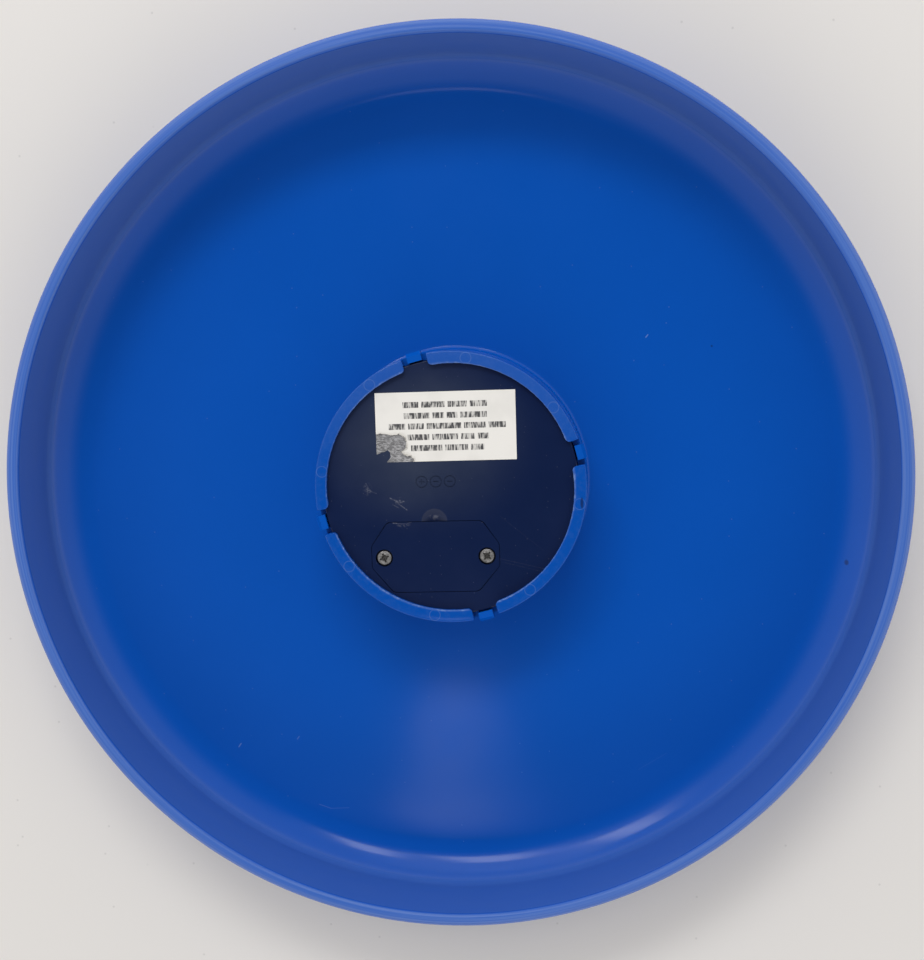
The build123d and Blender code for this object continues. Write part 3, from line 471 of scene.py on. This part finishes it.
def add_room():
    """A pale room, darker straight above, with a few soft cards."""
    world = bpy.data.worlds.new("room")
    world.use_nodes = True
    bpy.context.scene.world = world
    sky = Shading(world.node_tree)
    direction = sky.add("TexCoord").outputs["Generated"]
    height = sky.parts(direction)[2]
    in_gloss = sky.add("LightPath").outputs["Is Glossy Ray"]
    colour = sky.mix(in_gloss, sky.ramp(height, ROOM_STOPS), sky.ramp(height, GLOSS_STOPS))
    colour = sky.vector_math("MULTIPLY", colour, tinted(ROOM_COLOUR, ROOM_STRENGTH))
    for zenith_angle, azimuth, inner, outer, shade in CARDS:
        facing = sky.vector_math("DOT_PRODUCT", direction, tuple(sky_direction(zenith_angle, azimuth)))
        card = sky.step(facing, cos_degrees(outer), cos_degrees(inner))
        colour = sky.vector_math("ADD", colour, sky.vector_math("SCALE", shade, card))
    sky.feed(sky.tree.nodes["Background"].inputs["Color"], colour)


def add_lamp(name, zenith_angle, azimuth, distance, size, watts, in_gloss):
    """A soft rectangular lamp that faces the disc."""
    lamp = bpy.data.objects.new(name, bpy.data.lights.new(name, "AREA"))
    bpy.context.scene.collection.objects.link(lamp)
    lamp.data.shape = "RECTANGLE"
    lamp.data.size, lamp.data.size_y = size
    lamp.data.energy = watts
    direction = sky_direction(zenith_angle, azimuth)
    lamp.location = direction * distance
    lamp.rotation_mode = "QUATERNION"
    lamp.rotation_quaternion = direction.to_track_quat("Z", "Y")
    lamp.visible_glossy = in_gloss


# Pieces

def new_piece(name, shape, paint, sharp_angle=35.0):
    """A piece that rides on the disc body, from a bmesh in millimetres."""
    bmesh.ops.recalc_face_normals(shape, faces=shape.faces)
    mesh = bpy.data.meshes.new(name)
    shape.to_mesh(mesh)
    shape.free()
    mesh.transform(Matrix.Scale(MM, 4))
    mesh.polygons.foreach_set("use_smooth", [True] * len(mesh.polygons))
    mesh.set_sharp_from_angle(angle=math.radians(sharp_angle))
    mesh.materials.append(paint)
    piece = bpy.data.objects.new(name, mesh)
    bpy.context.scene.collection.objects.link(piece)
    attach(piece, "disc")
    return piece


def bend(centre, radius, first, last, count):
    """Points (radius, level) on an arc; angles in degrees run from straight down outwards."""
    points = []
    for index in range(count + 1):
        angle = math.radians(first + (last - first) * index / count)
        points.append((centre[0] + radius * math.sin(angle), centre[1] - radius * math.cos(angle)))
    return points


def domed(first, last, level, curve, count):
    """Points from one radius to another on the gently domed plate, its ends left out."""
    points = []
    for index in range(1, count):
        radius = first + (last - first) * index / count
        share = (radius - LAND_RADIUS) / (PLATE_RADIUS - LAND_RADIUS)
        points.append((radius, level + PLATE_DOME * max(share, 0.0) ** curve))
    return points


def collar_outside(level):
    """Radius of the collar's tapered outer wall at a level."""
    share = (level - COLLAR_FOOT[1]) / (COLLAR_SHOULDER[1] - COLLAR_FOOT[1])
    return COLLAR_FOOT[0] + (COLLAR_SHOULDER[0] - COLLAR_FOOT[0]) * share


def rim_lip():
    """The rounded lip of the rim, from its inner edge over to the equator."""
    start = (WALL_TOP[0] + LIP_ROUND, WALL_TOP[1])
    points = bend(start, LIP_ROUND, -90.0, -180.0, SECTION_STEPS["lip_inside"])
    wide, high = EQUATOR[0] - LIP_TOP_END, WALL_TOP[1] + LIP_ROUND - EQUATOR[1]
    for index in range(SECTION_STEPS["lip_outside"] + 1):
        angle = math.radians(90.0 * index / SECTION_STEPS["lip_outside"])
        points.append((LIP_TOP_END + wide * math.sin(angle), EQUATOR[1] + high * math.cos(angle)))
    return points


def disc_outline():
    """The disc's section from the collar's outside at the gap floor, round the rim, to its bore."""
    hub = (PLATE_RADIUS, SHOULDER_LEVEL)
    plate_edge = (PLATE_RADIUS, PLATE_LEVEL + PLATE_DOME)
    inner_hub = bend(plate_edge, -SHOULDER_INSIDE, SHOULDER_START, SHOULDER_START, 1)[0]
    foot_radius = WALL_FOOT_RADIUS - WALL_FOOT_FILLET
    foot_reach = SHOULDER_INSIDE - WALL_FOOT_FILLET
    foot_turn = math.asin((foot_radius - inner_hub[0]) / foot_reach)
    foot_centre = (foot_radius, inner_hub[1] - foot_reach * math.cos(foot_turn))
    turn_reach = SHOULDER_OUTSIDE - TURN_RADIUS
    turn_centre = bend(hub, turn_reach, OUTSIDE_ANGLE, OUTSIDE_ANGLE, 1)[0]
    foot_start = COLLAR_FOOT[0] + COLLAR_FOOT_FILLET

    foot_angle = math.degrees(foot_turn)
    steps = SECTION_STEPS
    points = [(collar_outside(GAP_FLOOR), GAP_FLOOR)]
    points += bend((foot_start, COLLAR_FOOT[1]), COLLAR_FOOT_FILLET, -90.0, 0.0, steps["collar_foot"])
    points += domed(foot_start, PLATE_RADIUS, PLATE_LEVEL, PLATE_CURVE, steps["plate"])
    points += bend(inner_hub, SHOULDER_INSIDE, SHOULDER_START, foot_angle, steps["shoulder"])
    points += bend(foot_centre, WALL_FOOT_FILLET, foot_angle, 90.0, steps["wall_foot"])[1:]
    points += rim_lip()
    points += bend(turn_centre, TURN_RADIUS, TURN_END, OUTSIDE_ANGLE, steps["turn"])
    points += bend(hub, SHOULDER_OUTSIDE, OUTSIDE_ANGLE, 0.0, steps["outside"])[1:]
    points += reversed(domed(LAND_RADIUS, PLATE_RADIUS, CROWN_LEVEL, CROWN_CURVE, steps["crown"]))
    points += [(LAND_RADIUS, CROWN_LEVEL), (COLLAR_BORE, CROWN_LEVEL), (COLLAR_BORE, GAP_FLOOR)]
    return points


def lip_outline(opening, inset):
    """The collar above the gap floor and its inward lip, pulled in by inset at the lip's ends."""
    outside, shoulder = COLLAR_SHOULDER
    top, low = COLLAR_TOP - inset, COLLAR_TOP - LIP_THICKNESS + inset
    outer_round = COLLAR_TOP - shoulder
    points = bend((outside - outer_round - inset, top - outer_round), outer_round, 90.0, 180.0, 5)
    points += bend((opening + inset + LIP_EDGE, top - LIP_EDGE), LIP_EDGE, 180.0, 270.0, 4)
    points += [(opening + inset, low), (COLLAR_BORE, low)]
    return points


def lip_stations(index):
    """Angle, opening radius and inset of each section along one lip."""
    step = 360.0 / LATCH_COUNT
    first = LATCH_ANGLE + step * index + GAP_ANGLE / 2.0
    length = math.radians(step - GAP_ANGLE) * LIP_OPENING
    near_end = [0.0, END_BEVEL, *LIP_CORNER_RUNS, LIP_CORNER]
    inner_length = length - 2.0 * LIP_CORNER
    runs = near_end + [LIP_CORNER + inner_length * count / LIP_STEPS for count in range(1, LIP_STEPS)]
    runs += [length - run for run in reversed(near_end)]
    start_trim, middle_trim, end_trim = LIP_TRIMS[index]
    stations = []
    for run in runs:
        share = run / length
        trim = start_trim + (end_trim - start_trim) * share
        trim += 4.0 * share * (1.0 - share) * (middle_trim - (start_trim + end_trim) / 2.0)
        angle = first + math.degrees(run / LIP_OPENING)
        ripple = FLASH_RIPPLE * noise.noise(Vector((run * 0.9, index * 7.0, 0.0)))
        end = min(run, length - run, LIP_CORNER)
        corner = LIP_CORNER - math.sqrt(LIP_CORNER ** 2 - (LIP_CORNER - end) ** 2)
        inset = END_BEVEL if end == 0.0 else 0.0
        stations.append((angle, LIP_OPENING + trim + ripple + corner, inset))
    return stations


def gap_angles(index):
    """Angles of the sections inside the latch gap that follows one lip."""
    first = LATCH_ANGLE + 360.0 / LATCH_COUNT * (index + 1) - GAP_ANGLE / 2.0
    return [first + GAP_ANGLE * count / GAP_STEPS for count in range(1, GAP_STEPS)]


def section_ring(shape, outline, angle):
    """The vertices of one section, turned to an angle about the axis."""
    across, along = math.cos(math.radians(angle)), math.sin(math.radians(angle))
    return [shape.verts.new((radius * across, radius * along, level)) for radius, level in outline]


def bridge(shape, first, second):
    """Quads between two rows of vertices of the same length."""
    for a, b, c, d in zip(first, first[1:], second[1:], second):
        shape.faces.new((a, b, c, d))


def disc_mesh():
    """The disc swept round its axis, with its lips cut by the latch gaps."""
    shape = bmesh.new()
    outline = disc_outline()
    rings = []
    for index in range(LATCH_COUNT):
        for angle, opening, inset in lip_stations(index):
            rings.append((section_ring(shape, outline, angle),
                          section_ring(shape, lip_outline(opening, inset), angle)))
        rings += [(section_ring(shape, outline, angle), None) for angle in gap_angles(index)]
    for ring, following in zip(rings, rings[1:] + rings[:1]):
        bridge(shape, ring[0], following[0])
        if ring[1] and following[1]:
            bridge(shape, *[[base[0], *lip, base[-1]] for base, lip in (ring, following)])
        else:
            shape.faces.new((ring[0][0], ring[0][-1], following[0][-1], following[0][0]))
            for base, lip in (ring, following):
                if lip:
                    shape.faces.new((base[0], *lip, base[-1]))
    return shape


def add_disc(paint):
    """The blue disc, in place of the CAD model's shell."""
    disc = new_piece("disc_body", disc_mesh(), paint)
    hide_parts("disc_shell")


# Label

def roughened(points, jitter, pieces, seed):
    """A line of points broken into shorter, slightly ragged runs."""
    draw = random.Random(seed)
    ragged = [points[0]]
    for first, last in zip(points, points[1:]):
        for index in range(1, pieces + 1):
            share = index / pieces
            shift = jitter if index < pieces else 0.0
            ragged.append(tuple(a + (b - a) * share + draw.uniform(-shift, shift)
                                for a, b in zip(first, last)))
    return ragged


def on_label(point, level):
    """A point measured from the label's lower left corner, in the part's frame."""
    return point[0] + LABEL_CORNER[0], point[1] + LABEL_CORNER[1], level


def add_slab(shape, points, low, high):
    """A flat slab with this outline, its top face first."""
    top = [shape.verts.new(on_label(point, high)) for point in points]
    bottom = [shape.verts.new(on_label(point, low)) for point in points]
    shape.faces.new(top)
    shape.faces.new(list(reversed(bottom)))
    for index in range(len(points)):
        following = (index + 1) % len(points)
        shape.faces.new((top[index], bottom[index], bottom[following], top[following]))


def label_sheet(torn_line):
    """The white paper that is left, cut off along the torn line."""
    shape = bmesh.new()
    width, height = LABEL_SIZE
    corners = [(0.0, height), (width, height), (width, 0.0)]
    add_slab(shape, torn_line + corners, COVER_TOP, COVER_TOP + LABEL_THICKNESS)
    return shape


def label_fibres(torn_line):
    """The thin fibrous layer that stayed on the cover between the tear and the hole."""
    shape = bmesh.new()
    hole = roughened(TORN_HOLE, 0.10, 3, LABEL_SEEDS["hole"])
    add_slab(shape, torn_line + hole, COVER_TOP, COVER_TOP + FIBRE_THICKNESS)
    return shape


def label_curl(torn_line):
    """The thin white edge of the paper that stands up along the tear."""
    shape = bmesh.new()
    top = COVER_TOP + LABEL_THICKNESS
    rows = []
    for index, point in enumerate(torn_line):
        lift = 0.5 + 0.5 * math.sin(index * 0.7)
        rise, reach = CURL_HEIGHT * (0.35 + 0.65 * lift), CURL_WIDTH * (0.4 + 0.6 * lift)
        start = Vector(point)
        inward = (Vector(LABEL_SIZE) * 0.5 - start).normalized()
        rows.append([shape.verts.new(on_label(start + inward * reach * share, top + rise * share ** 2))
                     for share in (0.0, 0.35, 0.7, 1.0)])
    for first, second in zip(rows, rows[1:]):
        bridge(shape, first, second)
    bmesh.ops.solidify(shape, geom=shape.faces[:], thickness=FIBRE_THICKNESS)
    return shape


def label_print():
    """Rows of plain grey bars where the label carries printed words; they spell nothing."""
    shape = bmesh.new()
    draw = random.Random(LABEL_SEEDS["words"])
    low = COVER_TOP + LABEL_THICKNESS
    for from_top, start, end in PRINT_ROWS:
        y = LABEL_SIZE[1] - from_top
        bottom, top = y - PRINT_HEIGHT / 2.0, y + PRINT_HEIGHT / 2.0
        while start < end:
            stop = min(start + draw.uniform(*WORD_LENGTHS), end)
            add_slab(shape, [(start, bottom), (start, top), (stop, top), (stop, bottom)],
                     low, low + PRINT_THICKNESS)
            start = stop + WORD_GAP
    return shape


def add_label(paper, fibres, ink):
    """The torn label: its sheet, the fibres under the tear, the curled edge and the print."""
    torn_line = roughened(TORN_LAYER, 0.16, 4, LABEL_SEEDS["tear"])
    sheet = new_piece("label_sheet", label_sheet(torn_line), paper)
    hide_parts("paper_label")
    new_piece("label_torn_fibres", label_fibres(torn_line), fibres)
    new_piece("label_curled_edge", label_curl(torn_line), paper)
    new_piece("label_grey_bars", label_print(), ink)


# Materials

def floor_paint():
    """Off-white board, faintly cloudy, with a little dust."""
    paint = Paint("floor", Roughness=0.65, Specular_IOR_Level=0.2)
    cloud = paint.noise(5.0, 3.0)
    colour = paint.mix(cloud, FLOOR_COLOUR, tinted(FLOOR_COLOUR, 0.95))
    dust = paint.specks(0.014, 0.0005)
    paint.set(Base_Color=paint.mix(paint.product(dust, 0.35), colour, tinted(FLOOR_COLOUR, 0.55)))
    return paint.material


def add_floor():
    """The plain floor the disc lies on."""
    mesh = bpy.data.meshes.new("floor")
    signs = ((-1, -1), (1, -1), (1, 1), (-1, 1))
    corners = [(x * FLOOR_HALF, y * FLOOR_HALF, 0.0) for x, y in signs]
    mesh.from_pydata(corners, [], [(0, 1, 2, 3)])
    floor = bpy.data.objects.new("floor", mesh)
    bpy.context.scene.collection.objects.link(floor)
    mesh.materials.append(floor_paint())


def pin_marks(paint, x, y, radius):
    """1 on the rims of the round ejector-pin marks on the collar's lips."""
    step = 2.0 * math.pi / PIN_MARK_COUNT
    first = math.radians(LATCH_ANGLE) + step / 2.0
    middle = (LIP_OPENING + COLLAR_SHOULDER[0]) / 2.0 * MM
    turns = paint.math("DIVIDE", paint.math("SUBTRACT", paint.math("ARCTAN2", y, x), first), step)
    away = paint.product(paint.math("SUBTRACT", turns, paint.math("ROUND", turns)), step, radius)
    offset = paint.joined(away, paint.math("SUBTRACT", radius, middle), 0.0)
    distance = paint.vector_math("LENGTH", offset)
    inner = (PIN_MARK_RADIUS - PIN_MARK_LINE) * MM
    return paint.span(distance, inner, PIN_MARK_RADIUS * MM, PIN_MARK_BLUR * MM)


def wall_haze_and_shade(paint, colour, y, level, radius):
    """The colour with a haze on the inner wall, weaker towards -Y as painted shade, and the wall's mask."""
    wall = paint.product(paint.step(radius, *WALL_FOOT), paint.step(radius, *WALL_BACK, 1.0, 0.0),
                         paint.step(level, *WALL_HEAD, 1.0, 0.0))
    smudge = paint.noise(1.0, 3.0, 0.6, paint.stretched((60.0, 60.0, 260.0)))
    # Scuffed haze on the wall, made weaker towards -Y: that weakening is painted shade
    haze = paint.product(wall, paint.step(smudge, 0.2, 0.8, 0.85, 1.0),
                         paint.step(y, -WALL_SHADE_SPAN, WALL_SHADE_SPAN, 0.55, 1.0))
    return paint.mix(haze, colour, WALL_GREY), wall


def worn_lip(paint, colour, x, y, level, radius):
    """The colour with fine pale rings on the rim's lip, the lip's mask and the rings."""
    lip = paint.product(paint.step(level, *RIM_LIP_LEVEL), paint.step(radius, *RIM_LIP_RADIUS))
    rings = paint.joined(paint.product(radius, 2600.0), paint.product(x, 12.0), paint.product(y, 12.0))
    lines = paint.noise(1.0, 2.0, 0.5, rings)
    wear = paint.product(lip, paint.step(lines, 0.3, 0.75, 0.10, 0.26))
    return paint.mix(wear, colour, WEAR_AND_SHEEN_PALE), lip, lines


def collar_wear_sheen_and_shadow(paint, colour, x, y, level, radius):
    """The colour on top of the collar: a darker blue with pale flash, pin marks and rubbing, a painted sheen
    towards +Y and a dark painted shadow.
    """
    on_collar = paint.product(paint.step(level, *COLLAR_LEVEL), paint.step(radius, *COLLAR_RADIUS, 1.0, 0.0))
    colour = paint.mix(on_collar, colour, tinted(DISC_BLUE, 0.85))
    # Painted sheen: the collar's top made paler towards +Y, standing in for a reflection
    painted_sheen = paint.product(on_collar, paint.step(y, *COLLAR_PAINTED_SHEEN), 0.05)
    colour = paint.mix(painted_sheen, colour, WEAR_AND_SHEEN_PALE)
    flash = paint.product(on_collar, paint.step(radius, *FLASH_RADIUS, 1.0, 0.0))
    rubbed = paint.step(paint.noise(700.0, 3.0, 0.7), 0.45, 0.65)
    worn = paint.most([paint.product(flash, paint.math("ADD", paint.product(rubbed, 0.30), 0.12)),
                       paint.product(on_collar, pin_marks(paint, x, y, radius), 0.12),
                       paint.product(on_collar, rubbed, 0.02)])
    colour = paint.mix(worn, colour, WEAR_AND_SHEEN_PALE)
    # Painted shadow: a dark patch on the collar's lip
    painted_shadow = paint.product(on_collar, paint.scuff(*LIP_PAINTED_SHADOW), 0.8)
    return paint.mix(painted_shadow, colour, tinted(MODULE_BLACK, 2.0))


def marked_plate(paint, colour, radius):
    """The colour with scratches and specks on the plate and a few dark spots."""
    on_plate = paint.step(radius, *PLATE_END, 1.0, 0.0)
    marks = paint.most([paint.scratch(*mark) for mark in PLATE_SCRATCHES]
                       + [paint.product(paint.specks(0.009, 0.00022), 0.2)])
    colour = paint.mix(paint.product(marks, on_plate), colour, WEAR_AND_SHEEN_PALE)
    spots = paint.most([paint.scuff(*spot) for spot in DARK_SPOTS])
    return paint.mix(paint.product(spots, 0.6), colour, MODULE_BLACK)


def disc_paint():
    """Blue polyethylene with a hazy wall painted darker towards -Y as shade, a pale worn lip, flash, a
    painted sheen and a painted shadow on the collar, and marks of use.
    """
    paint = Paint("disc_plastic", IOR=1.5)
    x, y, level = paint.parts(paint.place())
    radius = paint.radius()
    cloud = paint.noise(22.0, 4.0, 0.6)
    colour = paint.mix(cloud, tinted(DISC_BLUE, 0.95), tinted(DISC_BLUE, 1.05))
    colour, wall = wall_haze_and_shade(paint, colour, y, level, radius)
    colour, lip, lines = worn_lip(paint, colour, x, y, level, radius)
    colour = collar_wear_sheen_and_shadow(paint, colour, x, y, level, radius)
    colour = marked_plate(paint, colour, radius)
    roughness = paint.math("ADD", paint.step(cloud, 0.3, 0.7, 0.10, 0.14),
                           paint.product(paint.math("MAXIMUM", lip, wall), 0.22))
    paint.set(Base_Color=colour, Roughness=roughness)
    grain = paint.math("ADD", paint.noise(450.0, 3.0), paint.product(lip, lines, 2.0))
    paint.set(Normal=paint.bump(grain, 0.25, 0.000006))
    return paint.material


def module_paint():
    """Near-black plastic with a slight haze, a pale patch on top that is a painted reflection and partly a
    dusty film, dust, scuffs and scratches.
    """
    paint = Paint("module_plastic", IOR=1.5)
    haze = paint.noise(60.0, 4.0, 0.6)
    colour = paint.mix(haze, MODULE_BLACK, tinted(MODULE_BLACK, 1.3))
    on_top = paint.step(paint.parts(paint.place())[2], *COVER_LEVEL)
    # Painted reflection, partly a dusty film: the cover's top made paler in a broad patch
    patch = paint.scuff(*REFLECTION_PATCH, softness=1.0)
    painted_reflection = paint.product(patch, paint.step(haze, 0.2, 0.8, 0.6, 1.0), on_top)
    colour = paint.mix(painted_reflection, colour, MODULE_PAINTED_REFLECTION)
    broken = paint.step(paint.noise(900.0, 4.0, 0.7), 0.46, 0.62)
    rubbed = paint.most([paint.scuff(*mark, softness=0.9) for mark in COVER_SCUFFS])
    scuffs = paint.product(rubbed, broken, 0.35)
    scratches = paint.product(paint.most([paint.scratch(*mark) for mark in COVER_SCRATCHES]),
                              paint.step(broken, 0.0, 1.0, 0.35, 1.0))
    dust = paint.product(paint.specks(0.0030, 0.00014), 0.25)
    marks = paint.product(paint.most([scuffs, scratches, dust]), on_top)
    paint.set(Base_Color=paint.mix(marks, colour, SCUFF_PALE))
    dull = paint.product(marks, 0.3)
    paint.set(Roughness=paint.math("ADD", paint.step(haze, 0.3, 0.7, 0.15, 0.22), dull))
    paint.set(Normal=paint.bump(paint.noise(2200.0, 2.0), 0.25, 0.000008))
    return paint.material


def steel_paint():
    """Dull plated steel, mottled, darker low down in the cross recess."""
    paint = Paint("plated_steel", Metallic=1.0)
    mottle = paint.noise(1500.0, 4.0, 0.7)
    colour = paint.mix(paint.step(mottle, 0.38, 0.62), STEEL, tinted(STEEL, 0.55))
    level = paint.parts(paint.place())[2]
    # Darker low down in the cross recess
    low = paint.product(paint.step(level, *RECESS_TOP, 1.0, 0.0), paint.step(level, *RECESS_FOOT))
    paint.set(Base_Color=paint.mix(low, colour, STEEL_RECESS_DARK))
    paint.set(Roughness=paint.step(mottle, 0.3, 0.7, 0.38, 0.55))
    paint.set(Normal=paint.bump(mottle, 0.4, 0.00003))
    return paint.material


def paper_paint():
    """Uncoated off-white paper with a fine tooth and faint stains."""
    paint = Paint("label_paper", Roughness=0.75, Specular_IOR_Level=0.3)
    fibre = paint.noise(1.0, 3.0, 0.6, paint.stretched((900.0, 2600.0, 900.0), 0.4))
    stain = paint.noise(120.0, 3.0)
    colour = paint.mix(paint.step(stain, 0.45, 0.75), LABEL_WHITE, tinted(LABEL_WHITE, 0.93))
    paint.set(Base_Color=paint.mix(paint.product(fibre, 0.15), colour, tinted(LABEL_WHITE, 0.8)))
    paint.set(Normal=paint.bump(fibre, 0.3, 0.00003))
    return paint.material


def fibre_paint():
    """The grey, fuzzy inside of torn paper."""
    paint = Paint("torn_fibres", Roughness=0.9, Specular_IOR_Level=0.1)
    strands = paint.noise(1.0, 5.0, 0.75, paint.stretched((1100.0, 3600.0, 1100.0), 0.9))
    patches = paint.noise(600.0, 4.0, 0.7)
    colour = paint.mix(paint.step(strands, 0.35, 0.65), tinted(FIBRE_GREY, 0.45), tinted(FIBRE_GREY, 1.5))
    shaded = paint.step(patches, 0.45, 0.6, 0.0, 0.6)
    paint.set(Base_Color=paint.mix(shaded, colour, tinted(FIBRE_GREY, 0.35)))
    paint.set(Normal=paint.bump(strands, 0.8, 0.00008))
    return paint.material


def ink_paint():
    """Dark grey ink that the paper shows through in upright streaks."""
    paint = Paint("printing_ink", Roughness=0.6)
    streaks = paint.noise(1.0, 2.0, 0.5, paint.stretched((2600.0, 420.0, 420.0)))
    paint.set(Base_Color=paint.mix(paint.step(streaks, 0.42, 0.60), PRINT_GREY, tinted(LABEL_WHITE, 0.75)))
    return paint.material


def small_part_paint(row):
    """A mottled material with a fine grain, from one row of the record's materials."""
    roughness, metallic = FINISHES[row["class"]]
    colour = row["base_color"][:3]
    paint = Paint(row["slot"], Metallic=metallic)
    mottle = paint.noise(500.0, 4.0, 0.6)
    paint.set(Base_Color=paint.mix(paint.step(mottle, 0.3, 0.7), colour, tinted(colour, 0.72)))
    paint.set(Roughness=paint.step(mottle, 0.3, 0.7, roughness * 0.85, roughness * 1.2))
    paint.set(Normal=paint.bump(paint.noise(3000.0, 2.0), 0.3, 0.00001))
    return paint.material


def paint_nodes(chosen):
    """Gives every CAD node the material of its slot."""
    record = frame["record"]
    slots = {row["node"]: row["material_slot"] for row in record["subparts"]}
    for row in record["materials"]:
        if row["slot"] not in chosen:
            chosen[row["slot"]] = small_part_paint(row)
    for node, piece in frame["nodes"].items():
        for place in piece.material_slots:
            place.material = chosen[slots[node]]


add_camera()
add_room()
for lamp_row in LAMPS:
    add_lamp(*lamp_row)
add_floor()
blue = disc_paint()
paper = paper_paint()
add_disc(blue)
add_label(paper, fibre_paint(), ink_paint())
paint_nodes({
    "disc_blue": blue,
    "module_black": module_paint(),
    "screw_steel": steel_paint(),
    "label_paper": paper,
})
bpy.context.scene.view_settings.view_transform = "Standard"
